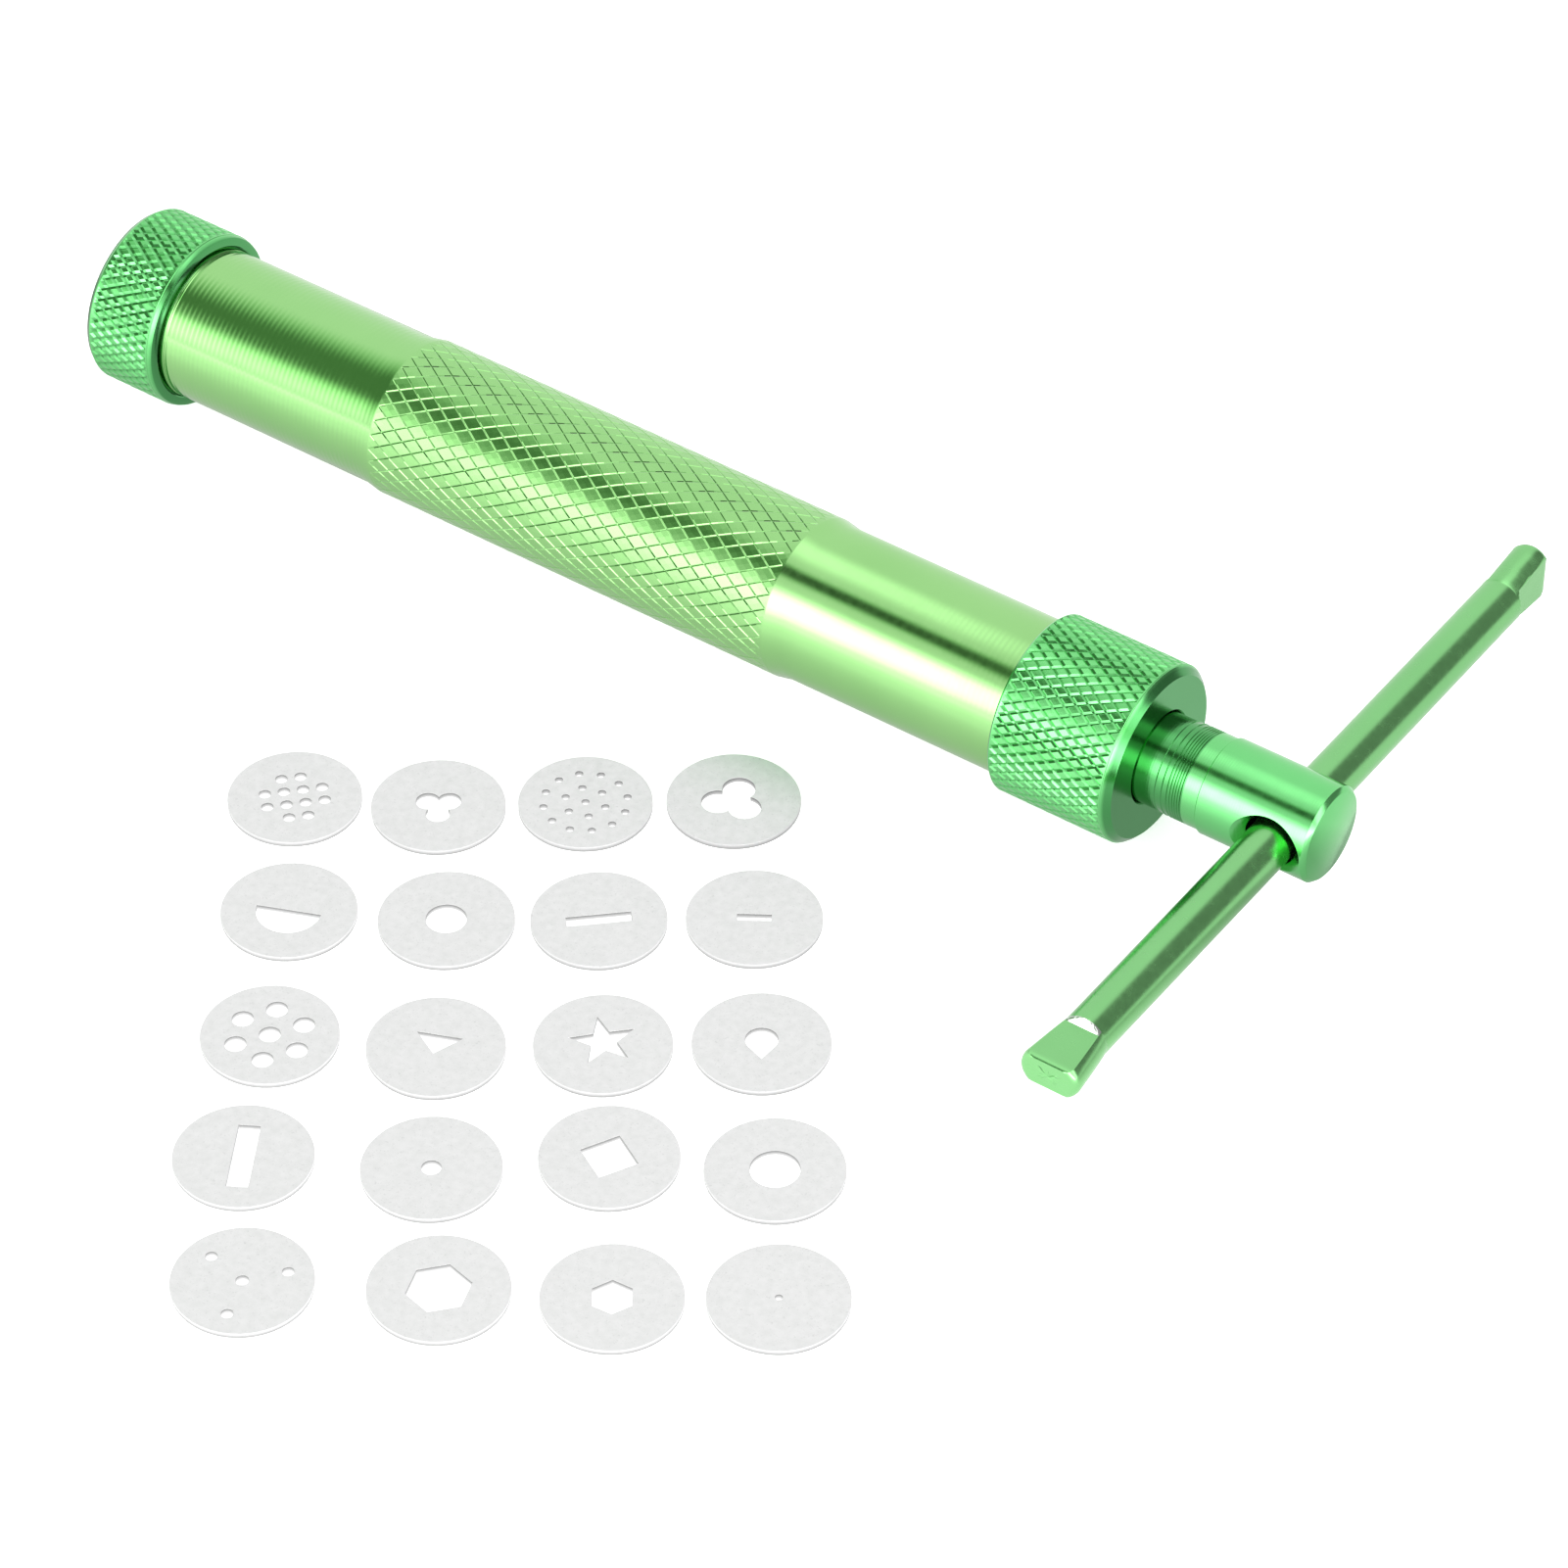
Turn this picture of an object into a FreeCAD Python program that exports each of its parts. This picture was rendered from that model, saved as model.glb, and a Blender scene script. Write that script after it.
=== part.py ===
"""Pottery clay extruder lying on a table, with its twenty die discs set out beside it.

The extruder lies along X, nose to -X and T handle to +X, and the table is at Z zero. The origin is on the
table, under the middle of everything that lies on it. Lengths are in millimetres and angles in degrees.
"""

import FreeCAD, Part
import os
import re

import Sketcher

# Driving dimensions. Names that end in turn are degrees, and names that end in count are plain numbers.
SIZES = {
    # nose cap, which screws over the front of the barrel and holds one die disc against it
    "cap_rim": 1.65,
    "cap_length": 13.0,
    "cap_chamfer": 1.0,
    "cap_band_length": 1.5,
    "cap_wall": 1.8,
    "die_land": 1.7,
    "mouth_chamfer": 0.4,
    "seat_depth": 0.6,
    "seat_gap": 0.1,
    "knurl_rise": 0.12,
    # barrel, a tube with a knurled grip between two plain stretches and a thread at each end
    "die_side_gap": 1.0,
    "thread_step": 1.25,
    "thread_wall": 2.0,
    "thread_chamfer": 0.5,
    "bore_chamfer": 0.3,
    "grip_rise": 0.5,
    "grip_length": 70.7,
    "ramp_length": 2.7,
    "plain_front_length": 36.9,
    "plain_rear_length": 36.6,
    # clearances shared by every screwed or running fit
    "thread_gap": 0.05,
    "running_gap": 0.08,
    "skirt_gap": 0.3,
    "shoulder_gap": 0.4,
    "end_gap": 0.3,
    "counterbore_depth": 3.0,
    # rear nut, whose thick end wall carries the screw
    "nut_rim": 1.45,
    "nut_length": 19.9,
    "nut_chamfer": 1.1,
    "nut_band_length": 1.4,
    "nut_wall": 7.0,
    "rim_chamfer": 0.3,
    # drive screw
    "lead": 2.0,
    "forward_turns_count": 5,
    "screw_diameter": 13.9,
    "neck_length": 10.3,
    "head_diameter": 14.5,
    "head_length": 17.8,
    "head_chamfer": 0.7,
    "head_front_chamfer": 0.15,
    "hole_from_end": 6.45,
    "cross_hole_diameter": 8.4,
    "countersink_diameter": 11.2,
    "countersink_depth": 1.6,
    "spigot_diameter": 8.0,
    "spigot_proud": 0.15,
    "tapped_depth": 11.0,
    "drill_point": 1.2,
    # piston, its seal and what holds it on the screw
    "piston_length": 12.0,
    "piston_chamfer": 0.6,
    "piston_stop_gap": 0.5,
    "recess_diameter": 11.0,
    "recess_depth": 3.4,
    "cord_diameter": 2.0,
    "groove_play": 0.4,
    "washer_diameter": 13.0,
    "washer_thickness": 0.8,
    "washer_gap": 0.05,
    "pan_diameter": 10.0,
    "pan_thickness": 2.4,
    "pan_chamfer": 0.6,
    "shank_diameter": 4.0,
    "shank_length": 10.0,
    "socket_diameter": 3.4,
    "socket_depth": 1.4,
    # T handle bar, loose in the head, with both ends pressed flat
    "bar_diameter": 7.0,
    "bar_length": 126.5,
    "bar_offset": 2.2,
    "bar_seat_gap": 0.3,
    "press_length": 9.0,
    "press_slope": 1.6,
    "press_width": 9.2,
    "press_depth": 7.4,
    "press_thickness": 4.9,
    "tip_length": 1.2,
    "tip_inset": 0.8,
    # die discs and how they are set out on the table
    "die_diameter": 19.0,
    "die_thickness": 0.8,
    "layout_turn": 35.0,
    "first_die_from_nose": 80.0,
    "first_die_from_axis": 64.9,
    # openings of the die discs
    "twelve_hole_diameter": 1.75,
    "twelve_hole_pitch": 2.72,
    "twelve_holes_turn": 11.0,
    "small_lobe_diameter": 3.4,
    "small_lobe_radius": 1.75,
    "nineteen_hole_diameter": 1.15,
    "nineteen_inner_radius": 3.0,
    "nineteen_outer_radius": 6.0,
    "nineteen_holes_turn": 10.0,
    "large_lobe_diameter": 4.7,
    "large_lobe_radius": 2.3,
    "large_clover_turn": 72.0,
    "half_round_diameter": 9.2,
    "half_round_turn": -12.5,
    "medium_round_diameter": 5.7,
    "wide_slot_length": 9.1,
    "wide_slot_width": 1.85,
    "wide_slot_turn": 8.0,
    "small_slot_length": 4.8,
    "small_slot_width": 1.3,
    "small_slot_turn": -2.0,
    "seven_hole_diameter": 3.0,
    "seven_holes_radius": 4.9,
    "seven_holes_turn": 22.0,
    "triangle_base": 6.45,
    "triangle_height": 3.6,
    "triangle_rise": 2.25,
    "triangle_turn": -12.5,
    "star_radius": 4.7,
    "star_inner_radius": 1.9,
    "star_rise": 0.6,
    "star_turn": 101.0,
    "drop_diameter": 4.55,
    "drop_rise": 0.5,
    "drop_tip": 3.7,
    "long_slot_length": 11.4,
    "long_slot_width": 3.0,
    "long_slot_turn": -5.0,
    "small_round_diameter": 2.7,
    "square_side": 5.8,
    "square_turn": 27.0,
    "large_round_diameter": 6.8,
    "four_centre_hole_diameter": 1.8,
    "four_outer_hole_diameter": 1.65,
    "four_holes_radius": 6.1,
    "four_holes_turn": 15.0,
    "large_hexagon_radius": 4.45,
    "large_hexagon_turn": 13.0,
    "small_hexagon_radius": 3.05,
    "small_hexagon_turn": 30.0,
    "pinhole_diameter": 1.05,
    # shared overrun of every cut past the face it leaves
    "overrun": 1.0,
}

# Centres of the die discs, along a row and away from the viewer, as shares of the disc's diameter from the
# first disc. The rows are set out by hand, so they are a little uneven.
DIE_PLACE_SHARES = {
    "disc_twelve_holes": (0.0, 0.0),
    "disc_small_clover": (1.07, -0.09),
    "disc_nineteen_holes": (2.16, -0.05),
    "disc_large_clover": (3.26, -0.02),
    "disc_half_round": (0.03, -1.22),
    "disc_round_medium": (1.18, -1.31),
    "disc_slot_wide": (2.29, -1.31),
    "disc_slot_small": (3.42, -1.29),
    "disc_seven_holes": (-0.03, -2.51),
    "disc_triangle": (1.16, -2.63),
    "disc_star": (2.35, -2.60),
    "disc_teardrop": (3.48, -2.58),
    "disc_slot_long": (-0.14, -3.72),
    "disc_round_small": (1.18, -3.83),
    "disc_square": (2.42, -3.72),
    "disc_round_large": (3.58, -3.84),
    "disc_four_holes": (-0.07, -4.91),
    "disc_hexagon_large": (1.28, -4.98),
    "disc_hexagon_small": (2.47, -5.06),
    "disc_pinhole": (3.61, -5.06),
}
NEAREST_ALONG_SHARE, NEAREST_AWAY_SHARE = DIE_PLACE_SHARES["disc_four_holes"]

# Places worked out from the driving dimensions, each from names above it
PLACES = {
    "thread_diameter": "die_diameter + 2 * die_side_gap",
    "barrel_diameter": "thread_diameter + 2 * thread_step",
    "grip_diameter": "barrel_diameter + 2 * grip_rise",
    "bore_diameter": "thread_diameter - 2 * thread_wall",
    "mouth_diameter": "die_diameter - 2 * die_land",
    "overall_length": "cap_length + plain_front_length + 2 * ramp_length + grip_length"
    " + plain_rear_length + nut_length + neck_length + head_length",
    "nose_x": "-overall_length / 2",
    "cap_back": "nose_x + cap_length",
    "barrel_front": "nose_x + cap_wall + seat_depth + seat_gap",
    "front_shoulder": "cap_back - counterbore_depth + shoulder_gap",
    "grip_front": "cap_back + plain_front_length + ramp_length",
    "grip_back": "grip_front + grip_length",
    "nut_front": "grip_back + ramp_length + plain_rear_length",
    "nut_back": "nut_front + nut_length",
    "rear_shoulder": "nut_front + counterbore_depth - shoulder_gap",
    "barrel_back": "nut_back - nut_wall - end_gap",
    "head_front": "nut_back + neck_length",
    "head_back": "head_front + head_length",
    "handle_x": "head_back - hole_from_end",
    "thread_bore_radius": "thread_diameter / 2 + thread_gap",
    "skirt_radius": "barrel_diameter / 2 + skirt_gap",
    "cap_diameter": "2 * skirt_radius + 2 * cap_rim",
    "nut_diameter": "2 * skirt_radius + 2 * nut_rim",
    "piston_front": "barrel_front + forward_turns_count * lead + piston_stop_gap",
    "piston_back": "piston_front + piston_length",
    "web_front": "piston_front + recess_depth",
    "spigot_front": "web_front - spigot_proud",
    "washer_front": "piston_back + washer_gap",
    "screw_shoulder": "washer_front + washer_thickness + washer_gap",
    "ring_radius": "bore_diameter / 2 - running_gap - cord_diameter / 2",
    "groove_radius": "ring_radius - cord_diameter / 2 - running_gap",
    "groove_half": "(cord_diameter + groove_play) / 2",
    "ring_x": "(web_front + piston_back) / 2",
    "bar_reach": "bar_length / 2 + bar_offset",
    "layout_cos": "cos(layout_turn)",
    "layout_sin": "sin(layout_turn)",
    "nearest_die_share": f"-({NEAREST_ALONG_SHARE}) * layout_sin - ({NEAREST_AWAY_SHARE}) * layout_cos",
    "die_reach": "first_die_from_axis + die_diameter * nearest_die_share + die_diameter / 2",
    "axis_y": "(die_reach - bar_reach) / 2",
    "axis_z": "cap_diameter / 2",
    "bar_z": "axis_z - (cross_hole_diameter - bar_diameter) / 2 + bar_seat_gap",
    "drop_half_angle": "asin(drop_diameter / 2 / drop_tip) / 1 deg",
}
PLAIN_NAME = re.compile(r"[a-z][a-z_]*[a-z]")

doc = FreeCAD.newDocument("ClayExtruder")
sheet = doc.addObject("Spreadsheet::Sheet", "Sizes")
places = doc.addObject("App::VarSet", "Places")
gauge = doc.addObject("App::VarSet", "Gauge")
gauge.addProperty("App::PropertyFloat", "reading")


def bound(text):
    """An expression on the document's sizes and places, from one in plain names."""

    def owned(match):
        word = match.group()
        if word in SIZES:
            return "Sizes." + word
        return "Places." + word if word in PLACES else word

    return PLAIN_NAME.sub(owned, text)


def fill_sizes():
    """Put the driving dimensions in the sheet and work out the places."""
    for row, (alias, value) in enumerate(SIZES.items(), start=1):
        cell = f"A{row}"
        sheet.set(cell, str(value))
        sheet.setAlias(cell, alias)
    doc.recompute()
    for name, text in PLACES.items():
        places.addProperty("App::PropertyFloat", name)
        places.setExpression(name, bound(text))
    doc.recompute()


def value_of(text):
    """The number that an expression in plain names gives now, read off a gauge property."""
    gauge.setExpression("reading", bound(text))
    gauge.recompute()
    return gauge.reading


def bind(thing, **texts):
    """Bind properties to expressions. Two underscores in a keyword stand for a dot."""
    for name, text in texts.items():
        thing.setExpression(name.replace("__", "."), bound(text))


def seat(thing, x="0", y="axis_y", z="axis_z"):
    """Place an object at a point, which is on the barrel's axis unless it is given."""
    bind(thing, Placement__Base__x=x, Placement__Base__y=y, Placement__Base__z=z)


def new_body(label):
    """A body that is one piece of the extruder."""
    made = doc.addObject("PartDesign::Body", label)
    made.Label = label
    return made


def new_sketch(body, name, plane):
    """A sketch on one of the body's own origin planes, such as XZ_Plane."""
    made = body.newObject("Sketcher::SketchObject", name)
    support = next(f for f in body.Origin.OriginFeatures if f.Role == plane)
    made.AttachmentSupport = [(support, "")]
    made.MapMode = "FlatFace"
    return made


def pin_point(sketch, edge, end, x, y):
    """Hold one end or the centre of an edge at expressions x and y from the sketch's origin."""
    for kind, text, axis in (("DistanceX", x, -2), ("DistanceY", y, -1)):
        if text == "0":
            sketch.addConstraint(Sketcher.Constraint("PointOnObject", edge, end, axis))
        else:
            index = sketch.addConstraint(Sketcher.Constraint(kind, -1, 1, edge, end, 1.0))
            sketch.setExpression(f"Constraints[{index}]", bound(text))


def add_polygon(sketch, points):
    """Add a closed outline of straight lines through points given as pairs of expressions."""
    first = sketch.GeometryCount
    count = len(points)
    drawn = [FreeCAD.Vector(value_of(x), value_of(y), 0) for x, y in points]
    for start, stop in zip(drawn, drawn[1:] + drawn[:1]):
        sketch.addGeometry(Part.LineSegment(start, stop))
    for number in range(count):
        here, after = first + number, first + (number + 1) % count
        sketch.addConstraint(Sketcher.Constraint("Coincident", here, 2, after, 1))
    for number, (x, y) in enumerate(points):
        pin_point(sketch, first + number, 1, x, y)


def add_circle(sketch, diameter, x="0", y="0"):
    """Add a circle whose diameter and centre are expressions."""
    centre = FreeCAD.Vector(value_of(x), value_of(y), 0)
    normal = FreeCAD.Vector(0, 0, 1)
    edge = sketch.addGeometry(Part.Circle(centre, normal, value_of(diameter) / 2))
    index = sketch.addConstraint(Sketcher.Constraint("Diameter", edge, 1.0))
    sketch.setExpression(f"Constraints[{index}]", bound(diameter))
    pin_point(sketch, edge, 3, x, y)


def turned(label, points):
    """A piece turned about the X axis from an outline of distances along it and radii."""
    body = new_body(label)
    sketch = new_sketch(body, label + "_outline", "XZ_Plane")
    add_polygon(sketch, points)
    turning = body.newObject("PartDesign::Revolution", label + "_turned")
    turning.Profile = sketch
    turning.ReferenceAxis = (sketch, ["H_Axis"])
    turning.Angle = 360
    sketch.Visibility = False
    return body


def punch(body, sketch, name):
    """Cut a sketch right through a plate that stands on the sketch's plane."""
    cut = body.newObject("PartDesign::Pocket", name)
    cut.Profile = sketch
    cut.Type = "Length"
    cut.Midplane = True
    bind(cut, Length="2 * die_thickness + 2 * overrun")
    return cut


def polar(radius, turn, rise="0"):
    """A point at a radius and an angle from a centre that lies a rise up the sketch."""
    return f"({radius}) * cos({turn})", f"({radius}) * sin({turn}) + ({rise})"


def turned_point(x, y, turn):
    """A point given in a frame that is turned about the sketch's origin."""
    return f"({x}) * cos({turn}) - ({y}) * sin({turn})", f"({x}) * sin({turn}) + ({y}) * cos({turn})"


def rectangle(length, width, turn):
    """The corners of a turned rectangle about the sketch's origin."""
    signs = ((-1, -1), (1, -1), (1, 1), (-1, 1))
    return [turned_point(f"{a} * {length} / 2", f"{b} * {width} / 2", turn) for a, b in signs]


def regular(radius, turn, count):
    """The corners of a regular polygon about the sketch's origin."""
    return [polar(radius, f"{turn} + {number} * 360 / {count}") for number in range(count)]


def holes(sketch, diameter, radius, turn, count):
    """Add a ring of round holes about the sketch's origin."""
    for number in range(count):
        x, y = polar(radius, f"{turn} + {number} * 360 / {count}")
        add_circle(sketch, diameter, x, y)


def make_barrel():
    """The barrel: a threaded end, a plain stretch, the raised grip, a plain stretch, a threaded end."""
    bore, tube, thread, grip = (f"{part}_diameter / 2" for part in ("bore", "barrel", "thread", "grip"))
    body = turned(
        "barrel",
        [
            ("barrel_front", f"{bore} + bore_chamfer"),
            ("barrel_front", f"{thread} - thread_chamfer"),
            ("barrel_front + thread_chamfer", thread),
            ("front_shoulder", thread),
            ("front_shoulder", tube),
            ("grip_front - ramp_length", tube),
            ("grip_front", grip),
            ("grip_back", grip),
            ("grip_back + ramp_length", tube),
            ("rear_shoulder", tube),
            ("rear_shoulder", thread),
            ("barrel_back - thread_chamfer", thread),
            ("barrel_back", f"{thread} - thread_chamfer"),
            ("barrel_back", f"{bore} + bore_chamfer"),
            ("barrel_back - bore_chamfer", bore),
            ("barrel_front + bore_chamfer", bore),
        ],
    )
    seat(body)


def make_die_cap():
    """The nose cap: a mouth, a shallow seat for one disc, the thread and a skirt over the barrel."""
    band = "cap_diameter / 2 - knurl_rise"
    seat_radius = "die_diameter / 2 + skirt_gap"
    thread_front = "nose_x + cap_wall + seat_depth"
    thread_back = "cap_back - counterbore_depth"
    body = turned(
        "die_cap",
        [
            ("nose_x", "mouth_diameter / 2 + mouth_chamfer"),
            ("nose_x", f"{band} - cap_chamfer"),
            ("nose_x + cap_chamfer", band),
            ("nose_x + cap_chamfer", "cap_diameter / 2"),
            ("cap_back - cap_band_length", "cap_diameter / 2"),
            ("cap_back - cap_band_length", band),
            ("cap_back - rim_chamfer", band),
            ("cap_back", f"{band} - rim_chamfer"),
            ("cap_back", "skirt_radius"),
            (thread_back, "skirt_radius"),
            (thread_back, "thread_bore_radius"),
            (thread_front, "thread_bore_radius"),
            (thread_front, seat_radius),
            ("nose_x + cap_wall", seat_radius),
            ("nose_x + cap_wall", "mouth_diameter / 2"),
            ("nose_x + mouth_chamfer", "mouth_diameter / 2"),
        ],
    )
    seat(body)


def make_drive_nut():
    """The rear nut: a skirt over the barrel, the thread and the thick wall that carries the screw."""
    band = "nut_diameter / 2 - knurl_rise"
    thread_front = "nut_front + counterbore_depth"
    wall_front = "nut_back - nut_wall"
    screw_bore = "screw_diameter / 2 + thread_gap"
    body = turned(
        "drive_nut",
        [
            ("nut_front", "skirt_radius"),
            ("nut_front", "nut_diameter / 2 - rim_chamfer"),
            ("nut_front + rim_chamfer", "nut_diameter / 2"),
            ("nut_back - nut_band_length - nut_chamfer", "nut_diameter / 2"),
            ("nut_back - nut_band_length - nut_chamfer", band),
            ("nut_back - nut_chamfer", band),
            ("nut_back", f"{band} - nut_chamfer"),
            ("nut_back", f"{screw_bore} + bore_chamfer"),
            ("nut_back - bore_chamfer", screw_bore),
            ("nut_back - nut_wall + bore_chamfer", screw_bore),
            (wall_front, f"{screw_bore} + bore_chamfer"),
            (wall_front, "thread_bore_radius"),
            (thread_front, "thread_bore_radius"),
            (thread_front, "skirt_radius"),
        ],
    )
    seat(body)


def make_drive_screw():
    """The screw: a tapped spigot for the piston, the long thread and the cross-drilled head."""
    spigot, screw, head = (f"{part}_diameter / 2" for part in ("spigot", "screw", "head"))
    tapped = "shank_diameter / 2 + thread_gap"
    tapped_back = "spigot_front - handle_x + tapped_depth"
    body = turned(
        "drive_screw",
        [
            ("spigot_front - handle_x", tapped),
            ("spigot_front - handle_x", f"{spigot} - bore_chamfer"),
            ("spigot_front - handle_x + bore_chamfer", spigot),
            ("screw_shoulder - handle_x", spigot),
            ("screw_shoulder - handle_x", f"{screw} - thread_chamfer"),
            ("screw_shoulder - handle_x + thread_chamfer", screw),
            ("head_front - handle_x", screw),
            ("head_front - handle_x", f"{head} - head_front_chamfer"),
            ("head_front - handle_x + head_front_chamfer", head),
            ("hole_from_end - head_chamfer", head),
            ("hole_from_end", f"{head} - head_chamfer"),
            ("hole_from_end", "0"),
            (f"{tapped_back} + drill_point", "0"),
            (tapped_back, tapped),
        ],
    )
    reach = "(head_diameter / 2 + overrun)"
    neck = "(head_diameter / 2 - countersink_depth)"
    slope = "(countersink_diameter - cross_hole_diameter) / 2 / countersink_depth"
    wide = f"cross_hole_diameter / 2 + {slope} * (countersink_depth + overrun)"
    sketch = new_sketch(body, "cross_hole_outline", "XY_Plane")
    add_polygon(
        sketch,
        [
            ("0", f"-{reach}"),
            (wide, f"-{reach}"),
            ("cross_hole_diameter / 2", f"-{neck}"),
            ("cross_hole_diameter / 2", neck),
            (wide, reach),
            ("0", reach),
        ],
    )
    drilling = body.newObject("PartDesign::Groove", "cross_hole")
    drilling.Profile = sketch
    drilling.ReferenceAxis = (sketch, ["V_Axis"])
    drilling.Angle = 360
    sketch.Visibility = False
    seat(body, x="handle_x")


def make_piston():
    """The piston: a bore for the spigot, a front recess for the pan head and a groove for the ring."""
    outer = "bore_diameter / 2 - running_gap"
    spigot_bore = "spigot_diameter / 2 + thread_gap"
    body = turned(
        "piston",
        [
            ("piston_front", "recess_diameter / 2"),
            ("piston_front", f"{outer} - piston_chamfer"),
            ("piston_front + piston_chamfer", outer),
            ("ring_x - groove_half", outer),
            ("ring_x - groove_half", "groove_radius"),
            ("ring_x + groove_half", "groove_radius"),
            ("ring_x + groove_half", outer),
            ("piston_back - piston_chamfer", outer),
            ("piston_back", f"{outer} - piston_chamfer"),
            ("piston_back", spigot_bore),
            ("web_front", spigot_bore),
            ("web_front", "recess_diameter / 2"),
        ],
    )
    seat(body)


def make_piston_o_ring():
    """The rubber ring in the piston's groove."""
    ring = doc.addObject("Part::Torus", "piston_o_ring")
    ring.Label = "piston_o_ring"
    ring.Placement = FreeCAD.Placement(FreeCAD.Vector(), FreeCAD.Rotation(FreeCAD.Vector(0, 1, 0), 90))
    bind(ring, Radius1="ring_radius", Radius2="cord_diameter / 2")
    seat(ring, x="ring_x")


def make_thrust_washer():
    """The washer between the screw's shoulder and the back of the piston."""
    hole = "spigot_diameter / 2 + thread_gap"
    body = turned(
        "thrust_washer",
        [
            ("washer_front", hole),
            ("washer_front", "washer_diameter / 2"),
            ("washer_front + washer_thickness", "washer_diameter / 2"),
            ("washer_front + washer_thickness", hole),
        ],
    )
    seat(body)


def make_piston_screw():
    """The pan head screw that keeps the piston on the spigot, with a hexagon socket."""
    pan_front = "-pan_thickness - washer_gap"
    pan, shank = "pan_diameter / 2", "shank_diameter / 2"
    body = turned(
        "piston_screw",
        [
            (pan_front, "0"),
            (pan_front, f"{pan} - pan_chamfer"),
            (f"{pan_front} + pan_chamfer", pan),
            ("-washer_gap", pan),
            ("-washer_gap", shank),
            ("shank_length - washer_gap", shank),
            ("shank_length - washer_gap", "0"),
        ],
    )
    sketch = new_sketch(body, "socket_outline", "YZ_Plane")
    add_polygon(sketch, regular("socket_diameter / 2", "0", 6))
    bind(sketch, AttachmentOffset__Base__z=f"{pan_front} + socket_depth")
    socket = body.newObject("PartDesign::Pocket", "socket")
    socket.Profile = sketch
    socket.Type = "Length"
    socket.Reversed = False
    bind(socket, Length="socket_depth + overrun")
    sketch.Visibility = False
    seat(body, x="spigot_front")


def placed(turn, about=(0, 1, 0)):
    """A placement at the origin, turned by an angle about an axis."""
    return FreeCAD.Placement(FreeCAD.Vector(), FreeCAD.Rotation(FreeCAD.Vector(*about), turn))


def press_section(name, centre, wide, deep, turn):
    """One oval section of a pressed bar end, across Y, with its wide way turned about Y from X."""
    oval = doc.addObject("Part::Ellipse", name)
    oval.Placement = placed(turn) * placed(-90, (1, 0, 0))
    bind(oval, MajorRadius=f"({wide}) / 2", MinorRadius=f"({deep}) / 2", Placement__Base__y=centre)
    return oval


def press_flat(name, sign, side, turn):
    """The face of the press that leaves one flat on an end of the bar, with a slope up to the round bar."""
    floor, clear = f"{side} * press_thickness / 2", f"{side} * (press_width / 2 + overrun)"
    start, out = (f"{sign} * (bar_length / 2 {step})" for step in ("- press_length", "+ overrun"))
    corners = [
        (start, clear),
        (start, f"{side} * bar_diameter / 2"),
        (f"{start} + {sign} * press_slope", floor),
        (out, floor),
        (out, clear),
    ]
    sketch = doc.addObject("Sketcher::SketchObject", name + "_outline")
    sketch.Placement = placed(turn) * placed(90, (0, 0, 1)) * placed(90, (1, 0, 0))
    add_polygon(sketch, corners)
    face = doc.addObject("Part::Extrusion", name)
    face.Base = sketch
    face.DirMode = "Normal"
    face.Solid = True
    face.Symmetric = True
    bind(face, LengthFwd="press_width + 2 * overrun")
    return face


def pressed_end(name, sign, turn):
    """The swollen metal of one end of the bar, and the two faces that press it flat."""
    neck, full, tip = (f"{sign} * (bar_length / 2 {step})" for step in ("- press_length", "- tip_length", ""))
    tip_wide, tip_deep = "press_width - 2 * tip_inset", "press_depth - 2 * tip_inset"
    swell = doc.addObject("Part::Loft", name + "_swell")
    swell.Sections = [
        press_section(name + "_neck", neck, "bar_diameter", "bar_diameter", turn),
        press_section(name + "_full", full, "press_width", "press_depth", turn),
        press_section(name + "_tip", tip, tip_wide, tip_deep, turn),
    ]
    swell.Solid = True
    swell.Ruled = True
    upper = press_flat(name + "_upper_flat", sign, 1, turn)
    lower = press_flat(name + "_lower_flat", sign, -1, turn)
    return swell, [upper, lower]


def make_cross_bar():
    """The round bar with both ends pressed flat, each end at its own angle about the bar."""
    shaft = doc.addObject("Part::Cylinder", "bar_shaft")
    shaft.Placement = placed(-90, (1, 0, 0))
    bind(shaft, Radius="bar_diameter / 2", Height="bar_length - 2 * press_length")
    bind(shaft, Placement__Base__y="press_length - bar_length / 2")
    near_swell, near_flats = pressed_end("near_end", -1, 0)
    far_swell, far_flats = pressed_end("far_end", 1, 90)
    whole = doc.addObject("Part::MultiFuse", "bar_blank")
    whole.Shapes = [shaft, near_swell, far_swell]
    tools = doc.addObject("Part::MultiFuse", "press_tools")
    tools.Shapes = near_flats + far_flats
    bar = doc.addObject("Part::Cut", "cross_bar")
    bar.Label = "cross_bar"
    bar.Base = whole
    bar.Tool = tools
    seat(bar, x="handle_x", y="axis_y + bar_offset", z="bar_z")


def die_blank(label):
    """One round die disc with no opening, at its own place in the rows on the table."""
    body = new_body(label)
    sketch = new_sketch(body, label + "_rim", "XY_Plane")
    add_circle(sketch, "die_diameter")
    plate = body.newObject("PartDesign::Pad", label + "_plate")
    plate.Profile = sketch
    bind(plate, Length="die_thickness")
    sketch.Visibility = False
    along, away = DIE_PLACE_SHARES[label]
    x = f"nose_x + first_die_from_nose + die_diameter * ({along} * layout_cos - ({away}) * layout_sin)"
    y = f"axis_y - first_die_from_axis + die_diameter * ({along} * layout_sin + ({away}) * layout_cos)"
    body.Placement = placed(1, (0, 0, 1))
    seat(body, x=x, y=y, z="0")
    bind(body, Placement__Rotation__Angle="layout_turn")
    return body


def punched_die(label, add_outline):
    """A die disc whose opening is one sketch of outlines that don't cross."""
    body = die_blank(label)
    sketch = new_sketch(body, label + "_opening_outline", "XY_Plane")
    add_outline(sketch)
    punch(body, sketch, label + "_opening")
    sketch.Visibility = False


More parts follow.
